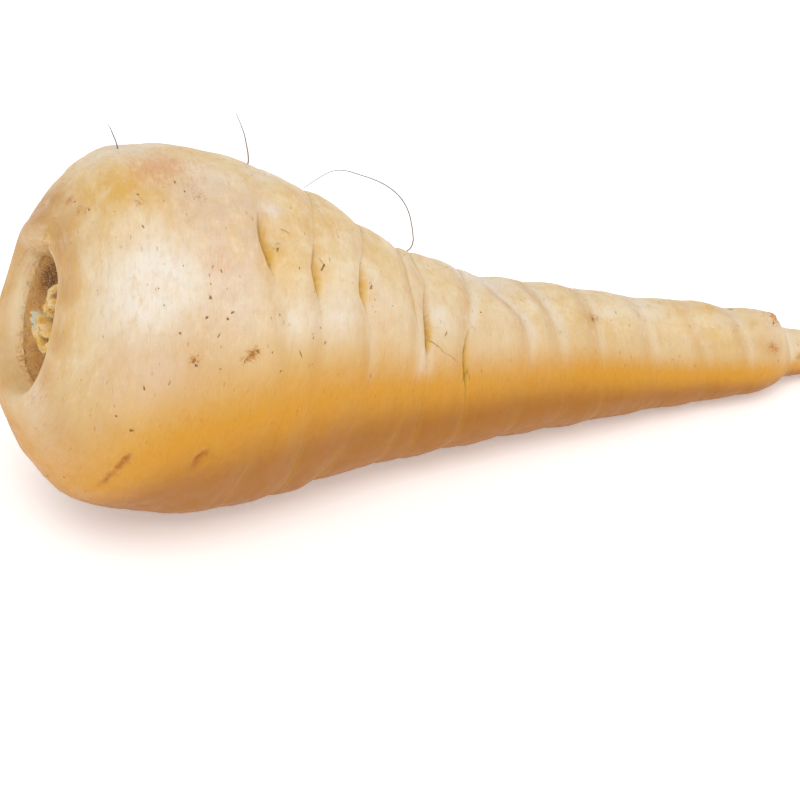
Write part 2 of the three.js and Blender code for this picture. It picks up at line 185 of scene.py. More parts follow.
# Two healed nicks low on the shoulder, each a path of [station, angle] with a depth and a
# half-width that grows along it.
NICKS = (
    (((15, 128), (16.1, 117), (17.8, 107)), 0.9, 0.75),
    (((30.4, 113), (31, 108), (32.6, 105)), 1.1, 0.9),
)
NICK_STEPS = 16

# Slow waves round the root: [height, waves round it, waves along it, phase].
WAVES = ((0.5, 2, 1.6, 0.7), (0.35, 3, -2.6, 2.1), (0.25, 5, 4.2, 4))
WAVE_FADE = 14
WAVE_FULL_RADIUS = 20

# Where rings of the mesh go: [reach between rings] in the hollow, near creases and elsewhere.
HOLLOW_GAP = 0.55
CREASE_GAP = 0.36
PLAIN_GAP = 1.05
CREASE_ZONE = (-1.8, 3.2)
SIDES = 224
FIRST_CREASED_REACH = 34


def smooth_at(knots, position, column=1):
    """A smooth curve through knots of [position, value, ...], read at many positions."""
    table = np.array(knots, float)
    places, values = table[:, 0], table[:, column]
    slopes = np.empty(len(places))
    slopes[1:-1] = (values[2:] - values[:-2]) / (places[2:] - places[:-2])
    slopes[0] = (values[1] - values[0]) / (places[1] - places[0])
    slopes[-1] = (values[-1] - values[-2]) / (places[-1] - places[-2])
    start = np.clip(np.searchsorted(places, position) - 1, 0, len(places) - 2)
    span = places[start + 1] - places[start]
    t = (position - places[start]) / span
    rise = t * t * (3 - 2 * t)
    bend = span * t * (1 - t) * (slopes[start] * (1 - t) - slopes[start + 1] * t)
    return values[start] + (values[start + 1] - values[start]) * rise + bend


def smoothstep(value, low, high):
    share = np.clip((value - low) / (high - low), 0, 1)
    return share * share * (3 - 2 * share)


def trace_outline():
    """The outline as a fine trace, the reach of each point, and the index of the rim."""
    knots = np.array(OUTLINE, float)
    last = len(knots) - 1
    position = np.linspace(0, last, OUTLINE_SAMPLES + 1)
    at = np.minimum(position.astype(int), last - 1)
    t = (position - at)[:, None]
    before, start, end, after = (knots[np.clip(at + step, 0, last)] for step in (-1, 0, 1, 2))
    leaving, arriving = (end - before) / 2, (after - start) / 2
    trace = ((2 * start - 2 * end + leaving + arriving) * t ** 3
             + (3 * end - 3 * start - 2 * leaving - arriving) * t ** 2 + leaving * t + start)
    reach = np.concatenate([[0], np.cumsum(np.hypot(*np.diff(trace, axis=0).T))])
    rim = int(np.argmin(trace[:, 0]))
    return trace, reach - reach[rim], rim


TRACE, TRACE_REACH, RIM = trace_outline()
FIRST_REACH, LAST_REACH = TRACE_REACH[0], TRACE_REACH[-1]


def outline_at(reach):
    """The station, the radius and the direction of the outline at each reach."""
    at = np.clip(np.searchsorted(TRACE_REACH, reach) - 1, 0, OUTLINE_SAMPLES - 1)
    span = TRACE_REACH[at + 1] - TRACE_REACH[at]
    share = ((reach - TRACE_REACH[at]) / span)[:, None]
    place = TRACE[at] * (1 - share) + TRACE[at + 1] * share
    direction = (TRACE[at + 1] - TRACE[at]) / span[:, None]
    return place[:, 0], np.maximum(place[:, 1], 0), direction


def reach_of(station):
    """The reach of a station on the outer skin."""
    return TRACE_REACH[RIM + int(np.argmax(TRACE[RIM:, 0] >= station))]


def closed_path(points):
    """A crease as knots of [angle, reach, fold, cut] that run past a full turn both ways."""
    return [(angle + turn, reach_of(station), *depths)
            for turn in (-360, 0, 360) for angle, station, *depths in points]


CREASE_PATHS = [closed_path(points) for points in CREASES]
CREASE_MEANS = [sum(reach_of(point[1]) for point in points) / len(points) for points in CREASES]


def follow_creases(reach, angle):
    """Shifts the rings of the mesh so that each crease lies along a ring."""
    means = [FIRST_CREASED_REACH, *CREASE_MEANS, LAST_REACH]
    same = np.ones_like(reach)
    moved = [FIRST_CREASED_REACH * same, *(smooth_at(path, angle) for path in CREASE_PATHS)]
    moved.append(LAST_REACH * same)
    followed = reach.copy()
    for stop in range(1, len(means)):
        within = (reach > means[stop - 1]) & (reach <= means[stop])
        share = (reach[within] - means[stop - 1]) / (means[stop] - means[stop - 1])
        followed[within] = moved[stop - 1][within] * (1 - share) + moved[stop][within] * share
    return followed


def spot(reach, angle, radius, station, bearing, width):
    """A round spot on the skin: 1 in its middle, fading over its half-width."""
    turn = np.mod(angle - bearing + 180, 360) - 180
    across = np.radians(turn) * radius
    along = reach - reach_of(station)
    return np.exp(-(along * along + across * across) / (width * width))


def creases_at(reach, angle):
    """The relief of all creases, the slide of their lips, and how near each point is to the bottom of a
    cut, stained brown and painted with shade, to its wall, to the bottom of a fold, painted with shade,
    and to the pale edge of a soft one, a painted highlight."""
    height, slide, bottom, wall, shaded_valley, lit_crest = np.zeros((6, *reach.shape))
    for crease, path in enumerate(CREASE_PATHS):
        past = reach - smooth_at(path, angle)
        fold = np.maximum(smooth_at(path, angle, 2), 0)
        cut = np.maximum(smooth_at(path, angle, 3), 0)
        width = CUT_TAIL_WIDTH + CUT_TAIL_SPREAD * cut
        wedge = np.where(past < 0, np.exp(past / CUT_CROWN_WIDTH), np.clip(1 - past / width, 0, 1))
        dip = np.exp(-(past / FOLD_WIDTH) ** 2)
        swell = (past + CREASE_SWELL_REACH) / CREASE_SWELL_REACH
        height += CREASE_SWELL * (fold + cut * CUT_SWELL_SHARE) * np.exp(-swell * swell)
        height -= fold * dip + cut * wedge ** CUT_POWER
        lip = (past + LIP_REACH) / LIP_REACH
        slide += LIP_SLIDE * cut * np.exp(-lip * lip)
        strength = np.clip(cut / FULL_CUT, 0, 1)
        if crease in STAIN_STARTS:
            start, spread = STAIN_STARTS[crease]
            faint = smoothstep(angle, *FAINT_ANGLES)
            faint = faint * (1 - smoothstep(angle, start - spread, start))
            strength *= 1 - STAIN_LOSS * faint
        bottom = np.maximum(bottom, strength * wedge ** BOTTOM_POWER)
        wall = np.maximum(wall, strength * np.clip(wedge * WALL_GAIN, 0, 1))
        # Painted shade at the bottom of each soft fold and a painted highlight on its pale edge.
        soft = np.clip(fold / FULL_FOLD, 0, 1)
        before, after = (past + VALLEY_SHIFT) / VALLEY_WIDTH, (past - CREST_SHIFT) / CREST_WIDTH
        valley_shade_share = soft * (VALLEY_SHARE + VALLEY_GROWTH * smoothstep(reach, *VALLEY_REACHES))
        shaded_valley = np.maximum(shaded_valley, valley_shade_share * np.exp(-before * before))
        soft = soft * np.clip(1 - cut / CREST_CUT, 0, 1) * smoothstep(reach, *CREST_REACHES)
        lit_crest = np.maximum(lit_crest, soft * np.exp(-after * after))
    return height, slide, bottom, wall, shaded_valley, lit_crest


def nicks_at(reach, angle, radius):
    """How deep in a healed nick each point is, from 0 to 1, and the depth there."""
    inside = np.zeros_like(reach)
    depth_there = np.zeros_like(reach)
    for path, depth, width in NICKS:
        stations, bearings = np.array(path, float).T
        share = np.linspace(0, 1, NICK_STEPS)
        stops = np.linspace(0, 1, len(path))
        for step in share:
            # Narrow at its start, widest near its end and rounded off there.
            taper = (0.4 + 0.6 * step) * min(1, 4.4 - 4 * step) ** 0.5
            place = (np.interp(step, stops, stations), np.interp(step, stops, bearings))
            there = spot(reach, angle, radius, *place, width * taper)
            inside = np.maximum(inside, there)
            depth_there = np.maximum(depth_there, depth * taper * there)
    return inside, depth_there


def fractal(places, octaves=3):
    """Smooth noise from about -1 to 1 at each place."""
    return np.array([noise.fractal(Vector(p), 1.0, 2.0, octaves) for p in places.tolist()])


def straight_places(reach, angle, radius):
    """The root straightened out: reach, and the point of its section."""
    turn = np.radians(angle)
    return np.stack([reach, radius * np.cos(turn), radius * np.sin(turn)], -1)


# Fine shape of the skin: [height, size along the root, size round it].
WRINKLES = ((0.16, 2.6, 17), (0.3, 11, 16))
HOLLOW_ROUGHNESS = 0.5
HOLLOW_GRAIN = 1.5

# The cork of the sunken crown: the reach where it starts, how far it takes to be full, and
# how far it climbs up the wall above, below and at the upper tip. Above it climbs fully
# between two angles and fades outside them. The other places are [angle, half-width].
CORK_START = -5
CORK_FADE = 5
CORK_CLIMBS = {"above": 4, "below": 0.9, "tip": 2.3}
CORK_ABOVE = (-18, 0)
CORK_ABOVE_FADES = (34, 50)
CORK_BELOW = (160, 36)
TIP = (10, 15)

# How dark the cork is, as painted shade: a little all over the floor, most high towards +Y, some below
# under the near rim, and darker also at the upper tip; where the middle two of those are, and the
# reaches between which the floor and the tip get dark.
DARK_SHARES = {"floor": 0.1, "high": 0.9, "below": 0.22, "tip": 0.5}
DARK_HIGH = (-62, 30)
DARK_BELOW = (176, 26)
DARK_REACHES = (-12, -8)
DARK_TIP_REACHES = (-2.5, 0.5)


def bell(value, middle, width):
    """1 at the middle, falling smoothly to both sides."""
    return np.exp(-((value - middle) / width) ** 2)


def hollow_scar(reach, angle):
    """1 on the corky floor of the sunken crown and 0 on the skin."""
    above = np.exp(-(np.minimum(angle - CORK_ABOVE[0], 0) / CORK_ABOVE_FADES[0]) ** 2
                   - (np.maximum(angle - CORK_ABOVE[1], 0) / CORK_ABOVE_FADES[1]) ** 2)
    below, tip = bell(np.abs(angle), *CORK_BELOW), bell(angle, *TIP)
    start = (CORK_START + CORK_CLIMBS["above"] * above + CORK_CLIMBS["below"] * below
             + CORK_CLIMBS["tip"] * tip)
    return 1 - smoothstep(reach, start - CORK_FADE, start)


def hollow_shade(reach, angle):
    """Painted shade on the cork of the sunken crown: most high towards +Y, less elsewhere."""
    high, below = bell(angle, *DARK_HIGH), bell(np.abs(angle), *DARK_BELOW)
    tip = bell(angle, *TIP) * (1 - smoothstep(reach, *DARK_TIP_REACHES))
    floor = DARK_SHARES["floor"] + DARK_SHARES["high"] * high + DARK_SHARES["below"] * below
    return DARK_SHARES["tip"] * tip + (1 - smoothstep(reach, *DARK_REACHES)) * floor


def fine_relief(reach, angle, radius):
    places = straight_places(reach, angle, radius)
    fade = np.clip(np.minimum(reach, LAST_REACH - reach) / 6, 0, 1)
    height = np.zeros_like(reach)
    for size, along, around in WRINKLES:
        height += size * fractal(places / (along, around, around)) * fade
    height *= np.minimum(radius / WAVE_FULL_RADIUS, 1) ** 0.5
    scar = hollow_scar(reach, angle)
    height += HOLLOW_ROUGHNESS * scar * fractal(places / HOLLOW_GRAIN)
    return height


def crown_relief(reach, angle):
    height = np.zeros_like(reach)
    for middle, bearing, rise, width, turn_width in CROWN_FORMS:
        turn = np.mod(angle - bearing + 180, 360) - 180
        height += rise * np.exp(-((reach - middle) / width) ** 2 - (turn / turn_width) ** 2)
    return height


def relief(reach, angle, radius):
    """The height of the relief above the plain outline, and the slide along it."""
    fade = np.clip(np.minimum(reach, LAST_REACH - reach) / WAVE_FADE, 0, 1)
    along = reach / LAST_REACH * np.pi
    waves = sum(height * np.sin(number * np.radians(angle) + down * along + phase)
                for height, number, down, phase in WAVES)
    waves = waves * np.minimum(radius / WAVE_FULL_RADIUS, 1)
    bumps = sum(height * spot(reach, angle, radius, station, bearing, width)
                for station, bearing, height, width in BUMPS)
    creases, slide = creases_at(reach, angle)[:2]
    nicks = nicks_at(reach, angle, radius)[1]
    outer = np.where(reach > 0, (waves + creases) * fade + bumps - nicks, 0)
    height = outer + crown_relief(reach, angle) + fine_relief(reach, angle, radius)
    return height, np.where(reach > 0, slide * fade, 0)


def centre_at(station):
    """The centre line, with the directions along, above and beside it."""
    def place(at):
        return np.stack([at, smooth_at(CENTRE_SIDE, at), smooth_at(CENTRE_HEIGHT, at)], -1)
    along = place(station + 0.5) - place(station - 0.5)
    along /= np.linalg.norm(along, axis=-1, keepdims=True)
    beside = -np.cross([0, 0, 1], along)
    beside /= np.linalg.norm(beside, axis=-1, keepdims=True)
    return place(station), along, beside, -np.cross(along, beside)


def placed(station, radius, angle, crown_share):
    """Points at a distance from the centre line, leaning with the crown."""
    centre, along, beside, above = centre_at(station)
    up = radius * np.cos(np.radians(angle))
    side = radius * np.sin(np.radians(angle))
    forward = CROWN_LEAN * side * crown_share
    return centre + above * up[:, None] + beside * side[:, None] + along * forward[:, None]


def plain_skin(reach, angle, height=0, slide=0):
    station, radius, direction = outline_at(reach)
    point = placed(station - height * direction[:, 1] + slide * direction[:, 0],
                   radius + height * direction[:, 0] + slide * direction[:, 1],
                   angle, 1 - smoothstep(reach, 0, CROWN_REACH))
    point[:, 2] = np.maximum(point[:, 2], 0)
    return point


def skin(reach, angle):
    """Points of the finished skin, in millimetres."""
    return plain_skin(reach, angle, *relief(reach, angle, outline_at(reach)[1]))


def middle_of_skin():
    reach, angle = np.meshgrid(np.linspace(0, LAST_REACH, 400), np.arange(0, 360, 3))
    points = plain_skin(reach.ravel(), angle.ravel())
    return (points.min(0) + points.max(0)) / 2


SKIN_MIDDLE = middle_of_skin() * (1, 1, 0)
FRAME_MIDDLE = np.array([(ROOT_LOW.x + ROOT_HIGH.x) / 2, (ROOT_LOW.y + ROOT_HIGH.y) / 2, 0])


def to_frame(points):
    """Points in millimetres, put where the frame has the root, in metres."""
    return (points - SKIN_MIDDLE) * MM + FRAME_MIDDLE


def skin_frame(reach, angle):
    """Points of the skin with the directions along it, round it and out of it."""
    step = 0.2
    turn = np.degrees(step / np.maximum(outline_at(reach)[1], 1))
    point = skin(reach, angle)
    along = skin(reach + step, angle) - skin(reach - step, angle)
    around = skin(reach, angle + turn) - skin(reach, angle - turn)
    out = np.cross(around, along)
    units = [v / np.linalg.norm(v, axis=-1, keepdims=True) for v in (along, around, out)]
    return point, *units


# ---- Meshes -------------------------------------------------------------------------------

def vertex_places(piece):
    places = np.empty(len(piece.data.vertices) * 3)
    piece.data.vertices.foreach_get("co", places)
    return places.reshape(-1, 3)


def place_vertices(piece, places):
    piece.data.vertices.foreach_set("co", places.ravel())
    piece.data.update()


def store(piece, name, values):
    """Keeps one number or one vector at each vertex, for a material to read."""
    is_vector = values.ndim == 2
    kind = "FLOAT_VECTOR" if is_vector else "FLOAT"
    attribute = piece.data.attributes.new(name, kind, "POINT")
    attribute.data.foreach_set("vector" if is_vector else "value", values.ravel())


def finish_piece(piece, name, material, replaced=None):
    """Names a piece, gives it its material and fixes it to the root's body."""
    piece.name = name
    piece.data.name = name
    piece.data.materials.clear()
    piece.data.materials.append(material)
    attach(piece, "root")
    if replaced:
        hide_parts(replaced)


def only(piece):
    """Makes a piece the only one that is selected."""
    bpy.ops.object.select_all(action="DESELECT")
    piece.select_set(True)
    bpy.context.view_layer.objects.active = piece


def ring_reaches():
    """Where the rings of the skin go: close together near creases, wider elsewhere."""
    marks = [(FIRST_REACH, HOLLOW_GAP), (0, 0.7), (FIRST_CREASED_REACH, PLAIN_GAP)]
    for mean in CREASE_MEANS:
        if marks[-1][0] > mean + CREASE_ZONE[0]:
            marks.pop()
        else:
            marks.append((mean + CREASE_ZONE[0], CREASE_GAP))
        marks.append((mean, CREASE_GAP))
        marks.append((mean + CREASE_ZONE[1], PLAIN_GAP))
    marks.append((LAST_REACH, PLAIN_GAP))
    rings = [FIRST_REACH]
    for (start, gap), (end, _) in zip(marks, marks[1:]):
        steps = max(round((end - start) / gap), 1)
        rings.extend(start + (end - start) * step / steps for step in range(1, steps + 1))
    return np.array(rings)


# Zones of the skin with a colour of their own, and pale zones that are partly painted highlight:
# [station, angle, half-width, strength].
YELLOW_ZONES = (
    (109, 64, 7, 0.3), (96, 28, 6, 0.2), (21, 14, 4, 0.25),
    (8, 2, 7, 0.5), (10, 16, 7, 0.6), (15, 18, 7, 0.45), (20, 24, 6, 0.3), (129, 2, 5, 0.3),
    (134, -4, 3, 0.3),
    (74, 14, 4, 0.5), (43, 24, 4, 0.6), (47, 12, 5, 0.2), (159, -2, 2.6, 1), (43, 57, 6, 0.3),
    (22, 104, 11, 0.8), (178, 34, 7, 0.3), (154, -10, 6, 0.3), (48, 94, 12, 0.5),
    (60, -120, 16, 0.8), (20, -90, 12, 0.6), (42.2, 38, 2, 0.9), (51.8, 42, 1.8, 0.9),
    (63, 42, 1.8, 0.9),
)
BLUSH_ZONES = (
    (19, 10, 7, 0.45), (25, 8, 6, 0.5), (27, 74, 2.6, 0.3), (30, 45, 4, 0.5),
    (31, 62, 5, 0.3), (56, 20, 5, 0.3), (4, 0, 2.5, 0.6), (24, -110, 14, 0.3), (64, -70, 12, 0.3),
)
LILAC_ZONES = (
    (29, 22, 7, 0.8), (32, 36, 7, 0.9), (36, 24, 6, 0.7), (25, 14, 5, 0.4), (33, 52, 6, 0.7),
    (37, 44, 5, 0.35),
    (34, 62, 5, 0.5), (1.5, 118, 4, 0.8), (14, 80, 8, 0.5), (22, 76, 8, 0.5), (20, 62, 4, 0.3),
    (162, 12, 4, 0.7), (12, 138, 8, 0.8), (5, 128, 7, 0.4), (171, 40, 4, 0.4),
)
TAN_ZONES = (
    (2, 12, 5.5, 0.8), (2, 36, 6, 0.7), (2, 54, 4, 0.5), (2.5, -16, 6, 1), (2.5, -40, 7, 1),
    (2, -65, 6, 1), (2, -100, 6, 1), (2, -140, 6, 0.8), (2, 180, 6, 0.5), (1.8, 76, 4, 0.7),
    (1.6, 100, 4, 0.6), (22, 76, 11, 0.4), (6, 114, 6, 0.45), (13, 100, 4, 0.3),
    (22, 40, 14, 0.12), (8, 118, 9, 0.15), (50, -80, 9, 0.3),
    (171.2, 60, 3, 0.6), (125.6, 27, 2.4, 0.5),
)
# Pale zones: the large one on the shoulder and most of those along the upper front, at angles of about
# 40 to 60, are painted highlight; the others are paler skin.
PALE_AND_LIT_ZONES = (
    (17.5, 49, 10, 0.92), (23, 50, 7, 0.4), (16, 62, 6, 0.4), (9, 55, 6, 0.3), (36, 57, 7, 0.3),
    (42, 22, 2.2, 0.8), (47, 59, 4.5, 0.7), (56, 55, 4.5, 0.6), (62, 32, 3, 0.3),
    (83, 41, 3.5, 0.4), (79.3, 63, 1.8, 0.4), (79.3, 70, 1.8, 0.3), (13, -14, 7, 0.5), (95, -8, 6, 0.5),
    (104, -12, 7, 0.6), (129, 22, 3, 0.3), (186, 14, 6, 0.5), (8, 66, 5, 0.3),
    (20, -4, 6, 0.4), (43, 2, 5, 0.4), (140, 8, 9, 0.4), (176, 22, 6, 0.4), (31, 12, 5, 0.3),
    (54, 44, 9, 0.25), (67, 44, 8, 0.3), (82, 40, 9, 0.25), (98, 42, 9, 0.25), (112, 42, 8, 0.2),
)


# Small sore spots, brown and yellow, with the same numbers.
SORE_SPOTS = (
    (26.7, 74, 1.0, 0.8), (27.2, 73, 0.8, 0.8), (37.6, 71.3, 1.2, 1), (38.5, 70.4, 1.1, 1),
    (36.6, 73, 0.8, 0.8), (4.2, -1, 1.1, 0.9), (4.7, 12, 1.3, 0.8), (5.6, 16, 1, 0.6),
    (15.7, 25, 1.2, 0.6), (28.7, 23, 1.6, 0.4), (27.4, 19, 1.3, 0.35), (173.4, 14, 2.1, 1),
    (125.6, 27, 1.2, 0.9), (171.2, 61, 1.4, 0.9), (181.6, 75, 1.2, 0.8), (165.5, -14, 0.8, 1),
    (1.6, 120, 1.2, 0.5),
)


def zone_mask(zones, reach, angle, radius):
    mask = np.zeros_like(reach)
    for station, bearing, width, strength in zones:
        mask += strength * spot(reach, angle, radius, station, bearing, width)
    return np.clip(mask, 0, 1)


# Painted shade: the colour gets deeper low on the sides, where shade falls. The table gives the angle
# where that starts at each reach, how far round it goes until the full colour on the taper and on the
# crown, and how much weaker it is on the side towards +Y.
UNDERSIDE_STARTS = ((-30, 180), (-3, 158), (3, 122), (8, 106), (20, 87), (32, 75),
                    (45, 67), (59, 61), (72, 56), (94, 53), (121, 46), (135, 47), (180, 64),
                    (240, 82))
UNDERSIDE_SPAN = 29
CROWN_SPAN = 54
CROWN_SPAN_REACHES = (12, 38)
BACK_ANGLE, BACK_WIDTH, BACK_LOSS = -95, 50, 0.4


def underside(reach, angle):
    """Below 0 above the start, 1 at the full colour and more towards the floor."""
    taper = smoothstep(reach, *CROWN_SPAN_REACHES)
    span = CROWN_SPAN + (UNDERSIDE_SPAN - CROWN_SPAN) * taper
    level = (np.abs(angle) - smooth_at(UNDERSIDE_STARTS, reach)) / span
    return level - np.clip(level, 0, None) * BACK_LOSS * bell(angle, BACK_ANGLE, BACK_WIDTH)


# The pale band: its reach and half-width, its middle angle and spread, and how strong it is
# all round.
RIM_BAND_REACH, RIM_BAND_WIDTH = -5.2, 1.25
RIM_BAND_ANGLE, RIM_BAND_SPREAD = -105, 36
RIM_BAND_LEAST = 0.1


def rim_band(reach, angle):
    """The pale band on the wall of the sunken crown, strongest on the side towards +Y."""
    turn = np.mod(angle - RIM_BAND_ANGLE + 180, 360) - 180
    band = bell(reach, RIM_BAND_REACH, RIM_BAND_WIDTH)
    return band * (RIM_BAND_LEAST + (1 - RIM_BAND_LEAST) * bell(turn, 0, RIM_BAND_SPREAD))


def add_taproot(settings):
    """The skin: a sphere whose rings become the rings of the root."""
    rings = ring_reaches()
    bpy.ops.object.select_all(action="DESELECT")
    bpy.ops.mesh.primitive_uv_sphere_add(segments=SIDES, ring_count=len(rings) - 1, radius=1)
    root = bpy.context.active_object
    unit = vertex_places(root)
    ring = np.rint(np.arccos(np.clip(unit[:, 2], -1, 1)) / np.pi * (len(rings) - 1)).astype(int)
    angle = -np.degrees(np.arctan2(unit[:, 1], unit[:, 0]))
    angle[(ring == 0) | (ring == len(rings) - 1)] = 0
    reach = follow_creases(rings[ring], angle)
    radius = outline_at(reach)[1]
    place_vertices(root, to_frame(skin(reach, angle)))
    bottom, wall, shaded_valley, lit_crest = creases_at(reach, angle)[2:]
    store(root, "skin_place", straight_places(reach, angle, radius))
    # Brown stain and painted shade at the bottom of each cut.
    store(root, "cut_bottom_stain_and_shade", bottom)
    store(root, "cut_wall", wall)
    store(root, "shaded_valley", shaded_valley)
    store(root, "lit_crest", lit_crest * (1 - underside(reach, angle).clip(0, 1)))
    store(root, "nick", smoothstep(nicks_at(reach, angle, radius)[0], 0.1, 0.7))
    store(root, "scar", hollow_scar(reach, angle))
    # How deep each point is in the painted shade of the sunken crown.
    store(root, "depth", hollow_shade(reach, angle))
    store(root, "rim_band", rim_band(reach, angle))
    # How far each point is into the painted shade low on the sides.
    store(root, "underside", underside(reach, angle))
    store(root, "yellow", zone_mask(YELLOW_ZONES, reach, angle, radius))
    store(root, "blush", zone_mask(BLUSH_ZONES, reach, angle, radius))
    store(root, "sore", zone_mask(SORE_SPOTS, reach, angle, radius))
    store(root, "lilac", zone_mask(LILAC_ZONES, reach, angle, radius))
    store(root, "tan", zone_mask(TAN_ZONES, reach, angle, radius))
    # Pale zones, partly paler skin and partly painted highlight.
    store(root, "pale", zone_mask(PALE_AND_LIT_ZONES, reach, angle, radius))
    bpy.ops.object.shade_smooth()
    finish_piece(root, "parsnip_root", skin_material(settings), "taproot")
    return root


# The leaf stalks stand on the floor of the sunken crown, off its middle. Each stalk is a
# bent plate: [bearing, distance from the middle, arc, thickness, height, dried skin].
STALK_MIDDLE = (2.2, 4.6)
STALKS = (
    (80, 5.2, 70, 2.0, 3.4, 0), (5, 5.6, 84, 1.8, 2.6, 0), (300, 5.9, 104, 1.8, 3.4, 0),
    (205, 6.2, 92, 1.9, 4.4, 0), (135, 5.8, 80, 1.9, 4.9, 0), (45, 2.7, 110, 1.6, 3.8, 0),
    (175, 2.7, 116, 1.6, 4.8, 0), (300, 2.8, 104, 1.5, 3.9, 0), (238, 8.0, 30, 1.8, 4.6, 1),
)
STALK_SINK = 1.0
STALK_CUTS = 13
HEART_RADIUS = 5.6
HEART_HEIGHT = 2.6


def crown_places(height, up, side):
    """Points above the floor of the sunken crown, in millimetres."""
    up = up + STALK_MIDDLE[0]
    side = side + STALK_MIDDLE[1]
    return placed(FLOOR_STATION - height, np.hypot(up, side),
                  np.degrees(np.arctan2(side, up)), np.ones_like(height))


def add_stalk(bearing, distance, arc, thickness, height, dried):
    """One cut stalk: a cube divided, bent round the middle and torn at its top."""
    bpy.ops.object.select_all(action="DESELECT")
    bpy.ops.mesh.primitive_cube_add(size=2)
    stalk = bpy.context.active_object
    bpy.ops.object.mode_set(mode="EDIT")
    bpy.ops.mesh.select_all(action="SELECT")
    bpy.ops.mesh.subdivide(number_cuts=STALK_CUTS)
    bpy.ops.object.mode_set(mode="OBJECT")
    across, through, rise = vertex_places(stalk).T
    level = (rise + 1) / 2
    turn = np.radians(bearing + across * arc / 2)
    wall = thickness / 2 * np.sqrt(1 - 0.8 * across ** 2)
    radius = distance + 0.5 * across ** 2 + wall * through + 0.5 * level
    spread = np.stack([np.cos(turn), np.sin(turn)]) * radius
    fibres = fractal(np.stack([*spread / 1.6, np.full_like(level, bearing)], -1), 4)
    lump = fractal(np.stack([*spread / 1.3, level * height / 1.3 + bearing], -1))
    top = height * (1 - 0.14 * across ** 2) + fibres - 0.35 * through ** 2
    up, side = spread + 0.16 * lump * spread / radius
    places = crown_places(level * (top + STALK_SINK) - STALK_SINK, up, side)
    place_vertices(stalk, to_frame(places))
    store(stalk, "level", level)
    store(stalk, "dried_skin", np.full_like(level, dried))
    return stalk


def add_heart():
    """The low lump that the stalks grow from."""
    bpy.ops.object.select_all(action="DESELECT")
    bpy.ops.mesh.primitive_uv_sphere_add(segments=64, ring_count=32, radius=1)
    heart = bpy.context.active_object
    up, side, rise = vertex_places(heart).T
    lump = fractal(np.stack([up * 4, side * 4, rise * 2], -1))
    size = HEART_RADIUS * (1 + 0.08 * lump)
    height = np.where(rise > 0, HEART_HEIGHT, STALK_SINK) * rise + 0.5 * lump * np.abs(rise)
    place_vertices(heart, to_frame(crown_places(height, up * size, side * size)))
    store(heart, "level", np.clip(rise, 0, 1) * 0.4)
    store(heart, "dried_skin", np.zeros_like(rise))
    return heart


def add_leaf_stalks(settings):
    stalks = [add_stalk(*stalk) for stalk in STALKS]
    heart = add_heart()
    only(heart)
    for stalk in stalks:
        stalk.select_set(True)
    bpy.ops.object.join()
    bpy.ops.object.shade_smooth_by_angle(angle=math.radians(50))
    finish_piece(heart, "leaf_stalks", stalk_material(settings), "leaf_stub")


# Long hair roots: [station, angle] of the foot and the rest of the way as steps from it in
# millimetres.
HAIRS = (
    ((15.6, -10), ((0, 1.5, 1), (-0.2, 3.2, 1.9), (-0.3, 5.1, 2.5), (-0.5, 6.4, 2.9))),
    ((41.6, -8), ((0.3, 0.7, 1.9), (0.2, 1.3, 3.7), (0.2, 2.7, 5.4), (0.1, 5.2, 6.9),
                  (0.1, 8.9, 8))),
    ((82.6, -22), ((1.1, 0.4, 0.6), (1.8, 0.7, 1.8), (1.8, 0.7, 3.8), (1.4, 0.5, 6.4),
                   (0.8, 0.3, 9), (-0.5, -0.2, 12), (-2.6, -1, 15), (-5.5, -2, 17.8),
                   (-8.8, -3.3, 20.2), (-12.4, -4.6, 22.3), (-15.7, -5.8, 24.1),
                   (-18.9, -7, 24.9), (-22.4, -8.3, 24.3), (-26.1, -9.7, 23.1))),
)
# Short ones that lie on the skin, as a path of [station, angle].
LYING_HAIRS = (
    ((43, 29), (44.3, 30), (45.2, 31)), ((40.8, 27), (41.7, 28)),
    ((51.4, 34), (51.9, 37), (52.5, 38)), ((42, 35), (42.7, 34.5), (43.1, 35.5)),
    ((80.3, 55), (81.3, 57), (82.5, 59), (84, 62), (85.4, 63), (87.5, 66), (90.4, 69)),
    ((91, 70), (91.7, 74), (92.5, 81)), ((91.2, 72), (90.1, 77), (89.9, 80)),
    ((62.8, 38), (63.2, 37), (63.7, 38)), ((118, -60), (121, -56), (125, -55)),
    ((66, -120), (70, -117), (73, -119), (77, -116)), ((30, -150), (33, -147), (35, -149)),
)
HAIR_SINK = 0.4


def tube(points, thicknesses):
    """A thin round tube through points, thinner where its thickness says so."""
    curve = bpy.data.curves.new("hair", "CURVE")
    curve.dimensions = "3D"
    curve.bevel_depth = 1
    curve.bevel_resolution = 1
    curve.resolution_u = 6
    curve.use_fill_caps = True
    spline = curve.splines.new("BEZIER")
    spline.bezier_points.add(len(points) - 1)
    for knot, point, thickness in zip(spline.bezier_points, points, thicknesses):
        knot.co = point
        knot.handle_left_type = "AUTO"
        knot.handle_right_type = "AUTO"
        knot.radius = thickness
    hair = bpy.data.objects.new("hair", curve)
    bpy.context.collection.objects.link(hair)
    return hair


def join_hairs(hairs, name, material):
    only(hairs[0])
    for hair in hairs:
        hair.select_set(True)
    bpy.ops.object.convert(target="MESH")
    bpy.ops.object.join()
    bpy.ops.object.shade_smooth()
    finish_piece(bpy.context.active_object, name, material)


